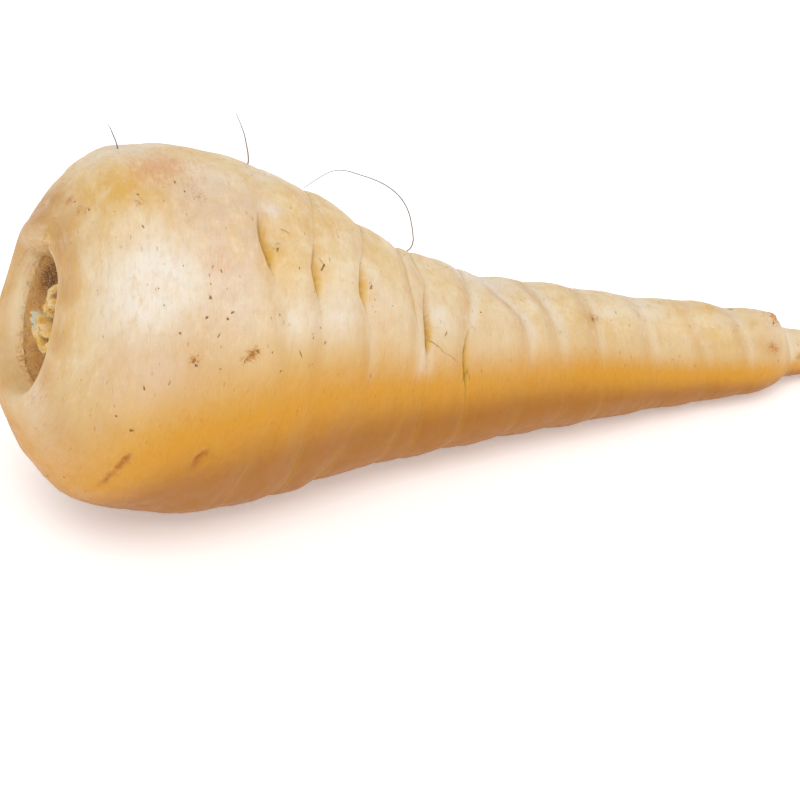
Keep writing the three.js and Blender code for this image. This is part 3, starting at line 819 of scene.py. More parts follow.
def add_hair_roots(settings):
    hairs, fine_hairs = [], []
    thick = settings.thickness / 2
    for (station, angle), steps in HAIRS:
        foot, _, _, out = skin_frame(np.array([reach_of(station)]), np.array([float(angle)]))
        way = np.concatenate([foot - out * HAIR_SINK, foot, foot + np.array(steps)])
        taper = np.interp(np.arange(len(way)), [0, 1, len(way) / 2, len(way) - 1],
                          [1.9, 1.5, 1.2, 0.6])
        hairs.append(tube(to_frame(way), taper * thick))
    for path in LYING_HAIRS:
        stations, angles = np.array(path, float).T
        reaches = np.array([reach_of(station) for station in stations])
        foot, _, _, out = skin_frame(reaches, angles)
        lift = np.full(len(path), 0.02)
        lift[0] = lift[-1] = -0.06
        taper = np.linspace(1, 0.5, len(path))
        fine = settings.fine_thickness / 2
        fine_hairs.append(tube(to_frame(foot + out * lift[:, None]), taper * fine))
    join_hairs(hairs, "hair_roots", hair_material("hair_root", settings.brown, settings.grey))
    join_hairs(fine_hairs, "fine_hairs", hair_material("fine_hair", settings.fine,
                                                       settings.brown))


# Dark marks, each as [station, angle, half-length round the root, half-width along it].
MARKS = (
    (15.8, 22, 0.35, 0.3), (16.1, 34, 0.55, 0.16), (29.3, 55, 0.45, 0.4), (29.6, 46, 0.45, 0.14),
    (31.2, 47, 0.4, 0.16), (29.4, 51, 0.3, 0.2), (28.8, 61, 0.35, 0.25), (32.5, 61, 0.4, 0.3),
    (33.4, 59, 0.35, 0.28), (31.2, 66, 0.65, 0.22), (23.7, 66, 0.35, 0.25),
    (19, 53, 0.25, 0.22), (20.3, 58, 0.22, 0.2), (6.7, 53, 0.25, 0.2), (26.7, 74, 0.6, 0.45),
    (27.2, 75.4, 0.3, 0.35), (38.7, 70, 0.45, 0.4), (38, 70.8, 0.5, 0.35),
    (37.4, 71.4, 0.3, 0.3), (36.9, 72.6, 0.55, 0.28), (36.5, 73.4, 0.3, 0.2),
    (17.6, 83, 0.7, 0.2), (22.4, 81, 0.75, 0.18), (17, 98, 0.45, 0.4), (13.7, 94, 0.3, 0.3),
    (3.5, 129, 0.25, 0.2), (10, 136, 0.4, 0.3), (9, 152, 0.45, 0.35), (31.9, 76, 0.25, 0.2),
    (42.2, 37, 0.75, 0.22), (52, 38.5, 1, 0.24), (63.3, 39, 0.8, 0.26),
    (43.1, 58, 0.3, 0.25), (41.7, 70, 0.25, 0.2), (44.2, 76, 0.4, 0.25), (48.2, 70, 0.9, 0.14),
    (52.2, 60, 0.35, 0.2), (50.5, 64, 0.5, 0.14), (53.7, 65, 0.6, 0.14), (46.1, 42, 0.25, 0.3),
    (68.8, 44, 0.2, 0.2), (64.1, 44, 0.35, 0.14), (66, 76, 0.6, 0.14), (90.2, -5, 0.25, 0.3),
    (95.2, 33, 0.3, 0.25), (84.2, 52, 0.7, 0.14), (4.6, 4, 0.4, 0.3), (6.1, 17, 0.4, 0.35),
    (24.6, 17, 0.6, 0.2), (26, 21, 0.4, 0.2), (166.2, -18, 0.6, 0.5), (172.4, 24, 0.5, 0.3),
    (125.6, 28, 0.5, 0.3),
)
MARK_SEGMENTS = 8
MARK_RINGS = 4


def random_marks(settings):
    """Many faint short dashes, scattered evenly over the skin."""
    draw = random.Random(settings.seed)
    marks = []
    while len(marks) < settings.number:
        station = draw.uniform(3, 205)
        radius = outline_at(np.array([reach_of(station)]))[1][0]
        if draw.random() * 40 > radius + 3:
            continue
        length = draw.uniform(0.18, 0.62)
        marks.append((station, draw.uniform(-180, 180), length, draw.uniform(0.07, 0.15)))
    return marks


def add_marks(settings):
    """Each mark is one small flattened sphere, copied and laid on the skin."""
    marks = [*MARKS, *random_marks(settings)]
    bpy.ops.object.select_all(action="DESELECT")
    bpy.ops.mesh.primitive_uv_sphere_add(segments=MARK_SEGMENTS, ring_count=MARK_RINGS, radius=1)
    pattern = bpy.context.active_object
    around, along, out = vertex_places(pattern).T
    station, angle, length, width = np.array(marks, float).T
    count = len(around)
    reach = np.array([reach_of(value) for value in station])
    radius = outline_at(reach)[1]
    draw = random.Random(settings.seed + 1)
    uneven = np.array([draw.random() for _ in range(len(marks) * count)]).reshape(-1, count)
    size = 0.3 + 0.9 * uneven
    slant = np.array([draw.uniform(-0.6, 0.6) for _ in marks])[:, None]
    reaches = (reach[:, None] + (width[:, None] * along
                                 + slant * length[:, None] * around) * size).ravel()
    angles = (angle[:, None] + np.degrees((length / radius)[:, None] * around * size)).ravel()
    foot, _, _, normal = skin_frame(reaches, angles)
    height = settings.height / MM * (np.tile(out, len(marks)) + 0.3)
    places = to_frame(foot + normal * height[:, None]).reshape(-1, count, 3)
    strength = 0.45 + 0.5 * underside(reach, angle).clip(0, 1)
    strength[:len(MARKS)] = 1
    copies = []
    for index, own in enumerate(places):
        copy = pattern.copy()
        copy.data = pattern.data.copy()
        bpy.context.collection.objects.link(copy)
        place_vertices(copy, own)
        store(copy, "strength", np.full(count, strength[index]))
        copies.append(copy)
    bpy.data.objects.remove(pattern)
    only(copies[0])
    for copy in copies:
        copy.select_set(True)
    bpy.ops.object.join()
    bpy.ops.object.shade_smooth()
    finish_piece(bpy.context.active_object, "skin_marks", mark_material(settings))


# ---- Materials ----------------------------------------------------------------------------

class Wiring:
    """Short ways to add the nodes of one tree and join them."""

    def __init__(self, tree):
        self.tree = tree

    def add(self, kind, inputs=(), **settings):
        """Adds a node. An input is a number, a colour or the socket it is joined to."""
        node = self.tree.nodes.new(kind)
        for name, value in settings.items():
            setattr(node, name, value)
        for name, value in dict(inputs).items():
            self.put(node.inputs[name], value)
        return node

    def put(self, socket, value):
        if isinstance(value, bpy.types.NodeSocket):
            self.tree.links.new(value, socket)
        else:
            socket.default_value = value

    def attribute(self, name, output="Fac"):
        return self.add("ShaderNodeAttribute", attribute_name=name).outputs[output]

    def scaled(self, vector, size):
        """The coordinates in units of a feature's size along each axis."""
        scale = tuple(1 / length for length in size)
        return self.add("ShaderNodeMapping", {"Vector": vector, "Scale": scale}).outputs[0]

    def noise(self, vector, size, detail=3.0, roughness=0.55, distortion=0.0):
        """Noise of a feature size along each axis of the coordinates."""
        return self.add("ShaderNodeTexNoise", {
            "Vector": self.scaled(vector, size), "Scale": 1.0, "Detail": detail,
            "Roughness": roughness, "Distortion": distortion}).outputs[0]

    def maths(self, operation, first, second=0.0, clamp=False):
        node = self.add("ShaderNodeMath", operation=operation, use_clamp=clamp)
        self.put(node.inputs[0], first)
        self.put(node.inputs[1], second)
        return node.outputs[0]

    def times(self, first, second):
        return self.maths("MULTIPLY", first, second)

    def plus(self, first, second):
        return self.maths("ADD", first, second)

    def band(self, value, low, high, start=0.0, end=1.0):
        """A smooth rise from start to end as the value goes from low to high."""
        return self.add("ShaderNodeMapRange", {
            "Value": value, "From Min": low, "From Max": high, "To Min": start, "To Max": end,
        }, interpolation_type="SMOOTHSTEP").outputs[0]

    def mix(self, below, above, share):
        """One colour laid over another, by a share from 0 to 1."""
        node = self.add("ShaderNodeMix", data_type="RGBA", clamp_factor=True)
        self.put(node.inputs[0], share)
        self.put(node.inputs[6], colour(below))
        self.put(node.inputs[7], colour(above))
        return node.outputs[2]

    def group(self, tree, **inputs):
        node = self.tree.nodes.new("ShaderNodeGroup")
        node.node_tree = tree
        for name, value in inputs.items():
            self.put(node.inputs[name.replace("_", " ")], value)
        return node.outputs[0]

    def bump(self, height, distance, strength=1.0):
        """A normal from a height that is in units of the distance."""
        return self.add("ShaderNodeBump", {
            "Height": height, "Distance": distance, "Strength": strength}).outputs[0]


def colour(value):
    """A colour socket as it is, or a colour of three numbers with its alpha."""
    return value if isinstance(value, bpy.types.NodeSocket) else (*value, 1)


def linear(code):
    """The linear colour of a hexadecimal screen colour."""
    parts = [int(code[at:at + 2], 16) / 255 for at in (0, 2, 4)]
    return tuple(((part + 0.055) / 1.055) ** 2.4 if part > 0.04045 else part / 12.92
                 for part in parts)


def new_group(name, inputs, output):
    """A node group with named inputs of [kind, default] and one output of a kind."""
    tree = bpy.data.node_groups.new(name, "ShaderNodeTree")
    for title, (kind, default) in inputs.items():
        socket = tree.interface.new_socket(name=title, in_out="INPUT", socket_type=kind)
        if default is not None:
            socket.default_value = default
    title, kind = output
    tree.interface.new_socket(name=title, in_out="OUTPUT", socket_type=kind)
    start = tree.nodes.new("NodeGroupInput")
    end = tree.nodes.new("NodeGroupOutput")
    return tree, Wiring(tree), start.outputs, end.inputs[0]


def speckle_group():
    """Scattered specks: dots or dashes in some of the cells of a stretched pattern."""
    known = bpy.data.node_groups.get("specks")
    if known:
        return known
    tree, wiring, given, result = new_group("specks", {
        "Place": ("NodeSocketVector", None), "Size": ("NodeSocketFloat", 0.3),
        "Share": ("NodeSocketFloat", 0.1)}, ("Mask", "NodeSocketFloat"))
    cells = wiring.add("ShaderNodeTexVoronoi", {"Vector": given["Place"], "Scale": 1.0})
    pick = wiring.add("ShaderNodeSeparateColor", {"Color": cells.outputs["Color"]}).outputs[0]
    chosen = wiring.maths("LESS_THAN", pick, given["Share"])
    edge = wiring.times(given["Size"], 0.45)
    near = wiring.add("ShaderNodeMapRange", {
        "Value": cells.outputs["Distance"], "From Min": given["Size"], "From Max": edge},
        interpolation_type="SMOOTHSTEP").outputs[0]
    wiring.put(result, wiring.times(chosen, near))
    return tree


def mottle_group():
    """Soft cloudy patches with a chosen contrast."""
    known = bpy.data.node_groups.get("mottle")
    if known:
        return known
    tree, wiring, given, result = new_group("mottle", {
        "Place": ("NodeSocketVector", None), "Level": ("NodeSocketFloat", 0.5),
        "Softness": ("NodeSocketFloat", 0.2)}, ("Mask", "NodeSocketFloat"))
    cloud = wiring.noise(given["Place"], (1, 1, 1), detail=4.0, roughness=0.6, distortion=0.3)
    low = wiring.maths("SUBTRACT", given["Level"], given["Softness"])
    high = wiring.plus(given["Level"], given["Softness"])
    wiring.put(result, wiring.band(cloud, low, high))
    return tree


def new_material(name):
    """A material with its nodes, ready to be wired, and its shader."""
    material = bpy.data.materials.new(name)
    material.use_nodes = True
    tree = material.node_tree
    return material, Wiring(tree), tree.nodes["Principled BSDF"].inputs


def skin_material(settings):
    material, w, shader = new_material("parsnip_skin")
    place = w.attribute("skin_place", "Vector")
    mottle, specks = mottle_group(), speckle_group()

    def patches(size, level, softness=0.15):
        return w.group(mottle, Place=w.scaled(place, size), Level=level, Softness=softness)

    # Broad differences of colour.
    clouds = w.noise(place, (1.8, 2.6, 2.6), detail=5.0, roughness=0.6)
    tone = w.mix(settings.skin, settings.cream, patches((14, 10, 10), 0.52))
    tone = w.mix(tone, settings.yellow, w.times(patches((9, 12, 12), 0.56), 0.4))
    tone = w.mix(tone, settings.blush, w.times(patches((7, 9, 9), 0.58), 0.25))
    # Painted shade low on the sides: the skin turns duller, then deeper and darker towards the floor.
    low = w.plus(w.attribute("underside"), w.band(clouds, 0.3, 0.7, -0.05, 0.05))
    tone = w.mix(tone, settings.side_shade, w.band(low, -0.9, 0.1, 0, 0.7))
    # Painted shade in the bottoms of the soft folds.
    tone = w.mix(tone, settings.tan, w.attribute("shaded_valley"))
    uneven = w.band(w.noise(place, (5, 6, 6)), 0.3, 0.6, 0.5, 1)
    tone = w.mix(tone, settings.yellow, w.times(w.attribute("yellow"), uneven))
    tone = w.mix(tone, settings.tan, w.times(w.attribute("tan"), w.band(uneven, 0.5, 1, 0.8, 1)))
    tone = w.mix(tone, settings.lilac, w.times(w.attribute("lilac"), uneven))
    # Painted shade: deeper low on the sides and darker still next to the floor.
    tone = w.mix(tone, settings.deep, w.band(low, 0, 1))
    tone = w.mix(tone, settings.lowest_shade, w.band(low, 0.9, 1.9, 0, 0.85))
    hue = w.noise(place, (3.2, 3.6, 3.6), detail=3.0, distortion=0.6)
    plain = w.band(low, -0.3, 0.6, 1, 0)
    tone = w.mix(tone, settings.yellow, w.times(w.band(hue, 0.52, 0.7, 0, 0.22), plain))
    tone = w.mix(tone, settings.lilac, w.times(w.band(hue, 0.46, 0.3, 0, 0.35), plain))
    strokes = w.noise(place, (0.5, 3, 3), detail=2.0, distortion=1.2)
    worn = w.band(w.plus(w.attribute("blush"), w.band(strokes, 0.3, 0.7, -0.25, 0.25)), 0.1, 0.9)
    worn = w.times(w.times(worn, w.band(w.attribute("blush"), 0, 0.25)), plain)
    tone = w.mix(tone, settings.blush, worn)
    # Whitish colour where the pale zones lie: partly paler skin, partly a painted highlight.
    pale = w.times(w.attribute("pale"), w.band(w.noise(place, (2.6, 4, 4)), 0.2, 0.55, 0.6, 1))
    tone = w.mix(tone, settings.bloom_and_sheen, pale)
    # Painted highlight on the pale edges of the soft folds.
    tone = w.mix(tone, settings.bloom_and_sheen, w.times(w.attribute("lit_crest"), 0.55))

    # Fine clouds and short streaks that run round the root, fainter low on the sides.
    fair = w.times(plain, w.band(w.attribute("tan"), 0.1, 0.6, 1, 0.2))
    tone = w.mix(tone, settings.pale_streak, w.times(w.band(clouds, 0.5, 0.75, 0, 0.3), fair))
    tone = w.mix(tone, settings.dark_streak, w.times(w.band(clouds, 0.5, 0.28, 0, 0.3), plain))
    streaks = w.noise(place, (0.32, 1.8, 1.8), detail=3.0, roughness=0.6, distortion=0.3)
    tone = w.mix(tone, settings.pale_streak, w.times(w.band(streaks, 0.55, 0.8, 0, 0.25), plain))
    tone = w.mix(tone, settings.dark_streak, w.times(w.band(streaks, 0.45, 0.25, 0, 0.28), plain))
    # Streaks in the darkest painted shade low on the sides.
    tone = w.mix(tone, settings.lowest_shade, w.times(w.band(streaks, 0.5, 0.3, 0, 0.16), w.band(
        low, 0, 0.6)))
    grain = w.noise(place, (0.45, 0.45, 0.45), detail=4.0, roughness=0.7)
    tone = w.mix(tone, settings.dark_streak, w.times(w.band(grain, 0.5, 0.3, 0, 0.16), plain))

    # Creases, nicks and sore spots collect brown.
    broken = w.band(w.noise(place, (0.9, 1.2, 1.2)), 0.25, 0.6, 0.45, 1)
    tone = w.mix(tone, settings.crease, w.times(w.times(w.attribute("cut_wall"), broken), 0.9))
    # Brown stain and painted shade in the bottoms of the cuts.
    tone = w.mix(tone, settings.pit_stain_and_shade, w.times(w.attribute("cut_bottom_stain_and_shade"), broken))
    tone = w.mix(tone, settings.nick, w.times(w.attribute("nick"), broken))
    sore = w.band(w.plus(w.attribute("sore"), w.band(grain, 0.35, 0.65, -0.5, 0.3)), 0.1, 0.9)
    sore = w.times(sore, w.band(w.attribute("sore"), 0, 0.2))
    tone = w.mix(tone, settings.sore, w.times(sore, 0.8))
    dashes = w.group(specks, Place=w.scaled(place, (1.1, 2.8, 2.8)), Size=0.26, Share=0.06)
    tone = w.mix(tone, settings.fleck, w.times(dashes, 0.4))
    pores = w.group(specks, Place=w.scaled(place, (1.8, 2.2, 2.2)), Size=0.22, Share=0.1)
    tone = w.mix(tone, settings.fleck, w.times(pores, 0.3))

    # The corky floor of the sunken crown with painted shade deep in it, and the pale band above it.
    foot = w.band(w.plus(w.attribute("scar"), w.band(hue, 0.3, 0.7, -0.1, 0.1)), 0, 0.35)
    foot = w.times(foot, w.band(w.attribute("scar"), 0, 0.08))
    tone = w.mix(tone, settings.cork_edge, w.times(foot, 0.85))
    tone = w.mix(tone, settings.cream, w.times(w.attribute("rim_band"), 0.75))
    sand = w.noise(place, (0.36, 0.36, 0.36), detail=3.0, roughness=0.75)
    edge = w.plus(w.attribute("scar"), w.band(w.noise(place, (1.6, 1.6, 1.6)), 0.3, 0.7,
                                              -0.2, 0.2))
    cork = w.band(w.plus(edge, w.band(sand, 0.3, 0.7, -0.6, 0.6)), 0.25, 1.15)
    cork = w.times(cork, w.band(w.attribute("scar"), 0, 0.2))
    # Painted shade deep in the sunken crown: it darkens the cork and brings out its dark grain.
    shaded = w.band(w.plus(w.attribute("depth"), w.band(sand, 0.3, 0.7, -0.3, 0.3)), 0.3, 1.1)
    browner = w.times(w.band(sand, 0.6, 0.42), w.band(w.attribute("depth"), -0.05, 0.25))
    corky = w.mix(settings.cork, settings.cork_dark, browner)
    corky = w.mix(corky, settings.cork_shade, w.times(shaded, 0.9))
    tone = w.mix(tone, corky, cork)
    w.put(shader["Base Color"], tone)

    patchy = w.noise(place, (3, 4, 4))
    shine = w.band(patchy, 0.3, 0.7, settings.roughness - 0.05, settings.roughness + 0.08)
    dry = w.maths("MAXIMUM", cork, w.attribute("cut_bottom_stain_and_shade"))
    rough = w.plus(w.times(shine, w.maths("SUBTRACT", 1.0, dry)), w.times(dry, 0.9))
    w.put(shader["Roughness"], rough)

    # Wrinkles across the root, its grain and its pores, with heights in millimetres.
    wrinkles = w.noise(place, (1.4, 9, 9), detail=4.0, roughness=0.6, distortion=0.5)
    ripple = w.noise(place, (0.6, 1.8, 1.8), detail=3.0)
    height = w.plus(w.times(wrinkles, settings.wrinkle / MM), w.times(ripple, 0.05))
    height = w.plus(height, w.times(w.times(sand, cork), 0.4))
    w.put(shader["Normal"], w.bump(height, MM))
    shader["Subsurface Weight"].default_value = settings.translucency
    shader["Subsurface Radius"].default_value = (1.0, 0.55, 0.25)
    shader["Subsurface Scale"].default_value = 0.003
    shader["Specular IOR Level"].default_value = 0.25
    return material


def stalk_material(settings):
    material, w, shader = new_material("cut_leaf_stalk")
    place = w.add("ShaderNodeTexCoord").outputs["Object"]
    mottle, specks = mottle_group(), speckle_group()
    tone = w.mix(settings.flesh, settings.rind, w.group(
        mottle, Place=w.scaled(place, (0.0022,) * 3), Level=0.5, Softness=0.12))
    tone = w.mix(tone, settings.edge, w.group(
        mottle, Place=w.scaled(place, (0.0012, 0.003, 0.003)), Level=0.55, Softness=0.1))
    tone = w.mix(tone, settings.grey, w.attribute("dried_skin"))
    foot = w.band(w.attribute("level"), 0.7, 0.1)
    fibre = w.noise(place, (0.0025, 0.0005, 0.0005), detail=4.0, roughness=0.7)
    tone = w.mix(tone, settings.dried, w.times(foot, w.band(fibre, 0.3, 0.62)))
    dots = w.group(specks, Place=w.scaled(place, (0.0011,) * 3), Size=0.3, Share=0.16)
    tone = w.mix(tone, settings.dried, w.times(dots, 0.85))
    w.put(shader["Base Color"], tone)
    w.put(shader["Roughness"], w.band(fibre, 0.3, 0.7, 0.65, 0.95))
    height = w.plus(w.times(fibre, 0.35), w.times(dots, -0.2))
    w.put(shader["Normal"], w.bump(height, MM))
    shader["Subsurface Weight"].default_value = 0.3
    shader["Subsurface Radius"].default_value = (1.0, 0.7, 0.35)
    shader["Subsurface Scale"].default_value = 0.0015
    return material


def hair_material(name, first, second):
    material, w, shader = new_material(name)
    place = w.add("ShaderNodeTexCoord").outputs["Object"]
    change = w.noise(place, (0.0016,) * 3, detail=2.0)
    w.put(shader["Base Color"], w.mix(first, second, w.band(change, 0.35, 0.6)))
    w.put(shader["Roughness"], w.band(change, 0.3, 0.7, 0.5, 0.8))
    return material


def mark_material(settings):
    material, w, shader = new_material("skin_mark")
    place = w.add("ShaderNodeTexCoord").outputs["Object"]
    change = w.noise(place, (0.0004,) * 3, detail=3.0)
    tone = w.mix(settings.brown, settings.dark, w.band(change, 0.4, 0.62))
    tone = w.mix(settings.faint, tone, w.attribute("strength"))
    w.put(shader["Base Color"], tone)
    w.put(shader["Roughness"], w.band(change, 0.3, 0.7, 0.6, 0.9))
    return material


def floor_material(settings):
    material, w, shader = new_material("pale_floor")
    place = w.add("ShaderNodeTexCoord").outputs["Object"]
    grain = w.noise(place, (0.004,) * 3, detail=2.0)
    faint = tuple(part * 0.995 for part in settings.floor)
    w.put(shader["Base Color"], w.mix(settings.floor, faint, grain))
    shader["Emission Color"].default_value = (1, 1, 1, 1)
    shader["Emission Strength"].default_value = settings.glow
    shader["Roughness"].default_value = 0.9
    shader["Specular IOR Level"].default_value = 0.1
    return material


# ---- Settings -----------------------------------------------------------------------------

def colour_setting(name, description, code):
    return FloatVectorProperty(name=name, description=description, subtype="COLOR", size=3,
                               min=0, max=1, default=linear(code))


def share_setting(name, description, default):
    return FloatProperty(name=name, description=description, subtype="FACTOR", min=0, max=1,
                         default=default)


def length_setting(name, description, default):
    return FloatProperty(name=name, description=description, unit="LENGTH",
                         subtype="DISTANCE", min=0, precision=5, default=default)


class RootSettings(bpy.types.PropertyGroup):
    """Colours and finish of the skin."""
    skin: colour_setting("Skin", "Colour of most of the skin", "DEC08A")
    cream: colour_setting("Cream", "Paler skin", "E6D3AE")
    yellow: colour_setting("Yellow", "Yellow patches", "D8A848")
    blush: colour_setting("Blush", "Pinkish brown patches", "D49E6E")
    # Painted shade: the skin grows duller towards the underside.
    side_shade: colour_setting("Dull", "Duller skin on the sides", "CFAD78")
    # Browner skin at the crown's rim, also laid in the soft folds as painted shade.
    tan: colour_setting("Tan", "Browner skin at the crown's rim", "BE8A48")
    lilac: colour_setting("Lilac", "Greyish pink skin", "D6BA9C")
    # Painted shade low on the sides and next to the floor, not colours of the skin.
    deep: colour_setting("Underside", "Skin low on the sides", "CC9024")
    lowest_shade: colour_setting("Low underside", "Skin next to the floor", "9A5E16")
    # Whitish colour of the skin, used also as a painted highlight.
    bloom_and_sheen: colour_setting("Bloom", "Whitish bloom where the skin stands out", "E3D9CA")
    pale_streak: colour_setting("Pale streaks", "Pale fine streaks", "F0E0C2")
    dark_streak: colour_setting("Dark streaks", "Dark fine streaks", "C69E64")
    crease: colour_setting("Creases", "Walls of the creases", "DAAE44")
    # Brown stain with painted shade in the deepest corners of the creases.
    pit_stain_and_shade: colour_setting("Pits", "Deepest corners of the creases", "84500F")
    nick: colour_setting("Nicks", "Healed nicks", "AE6820")
    sore: colour_setting("Sore spots", "Small sore spots", "B4741C")
    fleck: colour_setting("Flecks", "Faint flecks and pores", "A8763A")
    cork: colour_setting("Cork", "Corky floor of the sunken crown", "F6BE70")
    cork_edge: colour_setting("Cork edge", "Skin that turns into cork", "F2C688")
    cork_dark: colour_setting("Dark cork", "Dark grain of the cork", "BA7032")
    # Painted shade on the cork deep in the crown.
    cork_shade: colour_setting("Deep cork", "Cork deep in the crown", "5C290C")
    roughness: share_setting("Roughness", "Roughness of the skin", 0.4)
    translucency: share_setting("Translucency", "Light scattered under the skin", 0.25)
    wrinkle: length_setting("Wrinkles", "Height of the fine wrinkles", 0.00035)


class StalkSettings(bpy.types.PropertyGroup):
    """Colours of the cut leaf stalks."""
    flesh: colour_setting("Flesh", "Cut flesh of the stalks", "ECD09C")
    rind: colour_setting("Rind", "Yellow rind of the stalks", "E0B452")
    edge: colour_setting("Edge", "Orange patches of the stalks", "E2B064")
    grey: colour_setting("Grey", "Dried grey skin", "CCC6AE")
    dried: colour_setting("Dried", "Dried brown fibre", "8A5E2C")


class HairSettings(bpy.types.PropertyGroup):
    """Size and colours of the hair roots."""
    thickness: length_setting("Thickness", "Thickness of a hair root", 0.0002)
    fine_thickness: length_setting("Fine thickness", "Thickness of one on the skin", 0.00011)
    fine: colour_setting("Fine", "Brown of the fine ones on the skin", "B4864A")
    brown: colour_setting("Brown", "Brown parts of a hair root", "7E6048")
    grey: colour_setting("Grey", "Greyer parts of a hair root", "857468")


class MarkSettings(bpy.types.PropertyGroup):
    """Number, size and colours of the dark marks on the skin."""
    number: IntProperty(name="Number", description="Scattered faint marks", min=0, default=260)
    seed: IntProperty(name="Seed", description="Changes where they are", default=7)
    height: length_setting("Height", "How thick a mark is", 0.00003)
    brown: colour_setting("Brown", "Brown of a mark", "A87A3A")
    dark: colour_setting("Dark", "Darkest brown", "80561E")
    faint: colour_setting("Faint", "Faint marks", "CA9C60")


class StageSettings(bpy.types.PropertyGroup):
    """Floor, lights and camera."""
    floor: colour_setting("Floor", "Colour of the floor", "FAFAFA")
    key: FloatProperty(name="Key light", description="Power of the softbox", unit="POWER",
                       min=0, default=7.4)
    fill: FloatProperty(name="Fill light", description="Power of the side light", unit="POWER",
                        min=0, default=2)
    sky: share_setting("Surround", "Brightness of the white surround", 0.75)
    glow: share_setting("Floor glow", "Light that the floor gives off itself", 0.3)
    distance: length_setting("Camera distance", "From the aimed point", 0.44104)
    azimuth: FloatProperty(name="Camera azimuth", description="Turn of the camera to +X",
                           unit="ROTATION", subtype="ANGLE", default=math.radians(-18.733))
    elevation: FloatProperty(name="Camera elevation", description="Height of the camera",
                             unit="ROTATION", subtype="ANGLE", default=math.radians(30))
    view_angle: FloatProperty(name="View angle", description="Angle of the camera's view",
                              unit="ROTATION", subtype="ANGLE", default=math.radians(24))


# ---- Stage --------------------------------------------------------------------------------

CAMERA_AIM = Vector((-0.01651, 0.01045, 0.00486))
SENSOR = 36
FLOOR_SIZE = 8
FLOOR_DROP = 0.00005
# Softboxes: [name, place, size, aimed at the middle of the root].
KEY_PLACE = Vector((-0.25, -0.75, 1.25))
KEY_SIZE = 0.9
FILL_PLACE = Vector((1.1, -0.9, 0.7))
FILL_SIZE = 1.2


def aimed(piece, place, aim):
    piece.location = place
    piece.rotation_euler = (aim - place).to_track_quat("-Z", "Y").to_euler()


def add_softbox(name, place, size, power):
    bpy.ops.object.light_add(type="AREA")
    light = bpy.context.active_object
    light.name = name
    light.data.shape = "SQUARE"
    light.data.size = size
    light.data.energy = power
    aimed(light, place, Vector((-0.04, 0, 0.03)))


def add_stage(settings):
    bpy.ops.object.select_all(action="DESELECT")
    bpy.ops.mesh.primitive_plane_add(size=FLOOR_SIZE, location=(0, 0, -FLOOR_DROP))
    floor = bpy.context.active_object
    floor.name = "floor"
    floor.data.materials.append(floor_material(settings))
    add_softbox("key_light", KEY_PLACE, KEY_SIZE, settings.key)
    add_softbox("fill_light", FILL_PLACE, FILL_SIZE, settings.fill)
    world = bpy.data.worlds.new("white_surround")
    world.use_nodes = True
    world.node_tree.nodes["Background"].inputs["Color"].default_value = (1, 1, 1, 1)
    world.node_tree.nodes["Background"].inputs["Strength"].default_value = settings.sky
    scene = bpy.context.scene
    scene.world = world
    scene.view_settings.view_transform = "Standard"
    bpy.ops.object.camera_add()
    camera = bpy.context.active_object
    camera.name = "camera"
    camera.data.sensor_width = SENSOR
    camera.data.angle = settings.view_angle
    camera.data.clip_start = 0.01
    turn, rise = settings.azimuth, settings.elevation
    back = Vector((math.sin(turn) * math.cos(rise), -math.cos(turn) * math.cos(rise),
                   math.sin(rise)))
    aimed(camera, CAMERA_AIM + back * settings.distance, CAMERA_AIM)
    scene.camera = camera


# ---- Add-on -------------------------------------------------------------------------------

class PARSNIP_OT_root(bpy.types.Operator):
    """Build the root's skin"""
    bl_idname = "parsnip.root"
    bl_label = "Root"

    def execute(self, context):
        add_taproot(context.scene.parsnip_root)
        return {"FINISHED"}


class PARSNIP_OT_leaf_stalks(bpy.types.Operator):
    """Build the cut leaf stalks in the sunken crown"""
    bl_idname = "parsnip.leaf_stalks"
    bl_label = "Leaf stalks"

    def execute(self, context):
        add_leaf_stalks(context.scene.parsnip_stalks)
        return {"FINISHED"}


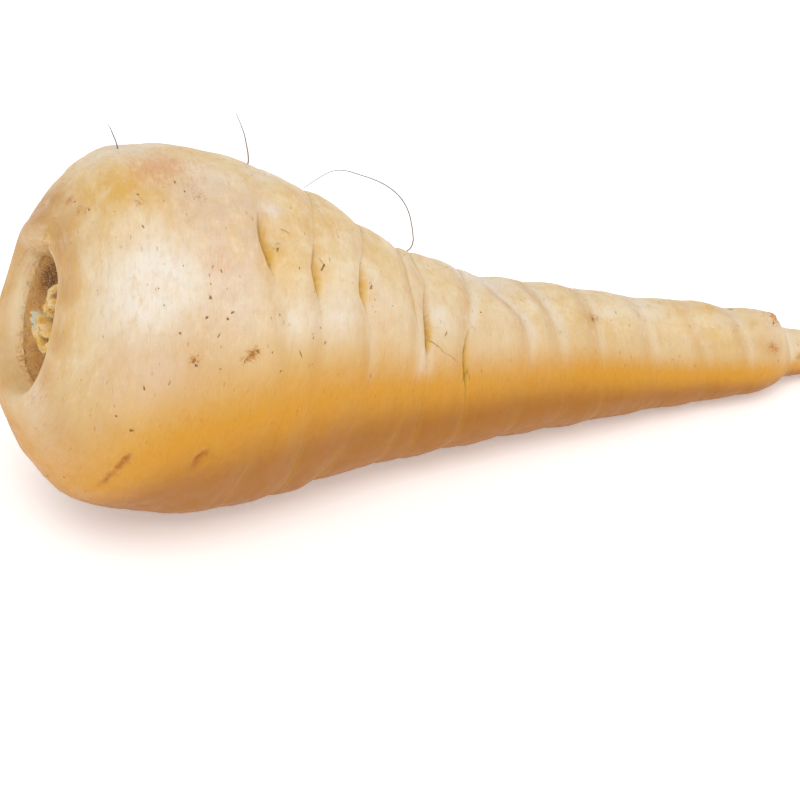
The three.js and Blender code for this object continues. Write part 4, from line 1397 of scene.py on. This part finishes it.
class PARSNIP_OT_hair_roots(bpy.types.Operator):
    """Build the hair roots"""
    bl_idname = "parsnip.hair_roots"
    bl_label = "Hair roots"

    def execute(self, context):
        add_hair_roots(context.scene.parsnip_hairs)
        return {"FINISHED"}


class PARSNIP_OT_marks(bpy.types.Operator):
    """Build the dark marks on the skin"""
    bl_idname = "parsnip.marks"
    bl_label = "Skin marks"

    def execute(self, context):
        add_marks(context.scene.parsnip_marks)
        return {"FINISHED"}


class PARSNIP_OT_stage(bpy.types.Operator):
    """Set up the floor, the lights and the camera"""
    bl_idname = "parsnip.stage"
    bl_label = "Stage"

    def execute(self, context):
        add_stage(context.scene.parsnip_stage)
        return {"FINISHED"}


class PARSNIP_PT_panel(bpy.types.Panel):
    """Lists the parsnip's pieces and their settings"""
    bl_idname = "PARSNIP_PT_panel"
    bl_label = "Parsnip"
    bl_space_type = "VIEW_3D"
    bl_region_type = "UI"
    bl_category = "Parsnip"

    def draw(self, context):
        for operator, place, group in PARTS:
            box = self.layout.box()
            box.operator(operator.bl_idname)
            settings = getattr(context.scene, place)
            for name in group.__annotations__:
                box.prop(settings, name)


PARTS = (
    (PARSNIP_OT_stage, "parsnip_stage", StageSettings),
    (PARSNIP_OT_root, "parsnip_root", RootSettings),
    (PARSNIP_OT_leaf_stalks, "parsnip_stalks", StalkSettings),
    (PARSNIP_OT_hair_roots, "parsnip_hairs", HairSettings),
    (PARSNIP_OT_marks, "parsnip_marks", MarkSettings),
)


def register():
    for operator, place, group in PARTS:
        bpy.utils.register_class(group)
        bpy.utils.register_class(operator)
        setattr(bpy.types.Scene, place, PointerProperty(type=group))
    bpy.utils.register_class(PARSNIP_PT_panel)


def unregister():
    bpy.utils.unregister_class(PARSNIP_PT_panel)
    for operator, place, group in reversed(PARTS):
        delattr(bpy.types.Scene, place)
        bpy.utils.unregister_class(operator)
        bpy.utils.unregister_class(group)


def main():
    register()
    bpy.ops.parsnip.stage()
    bpy.ops.parsnip.root()
    bpy.ops.parsnip.leaf_stalks()
    bpy.ops.parsnip.hair_roots()
    bpy.ops.parsnip.marks()


if __name__ == "__main__":
    main()
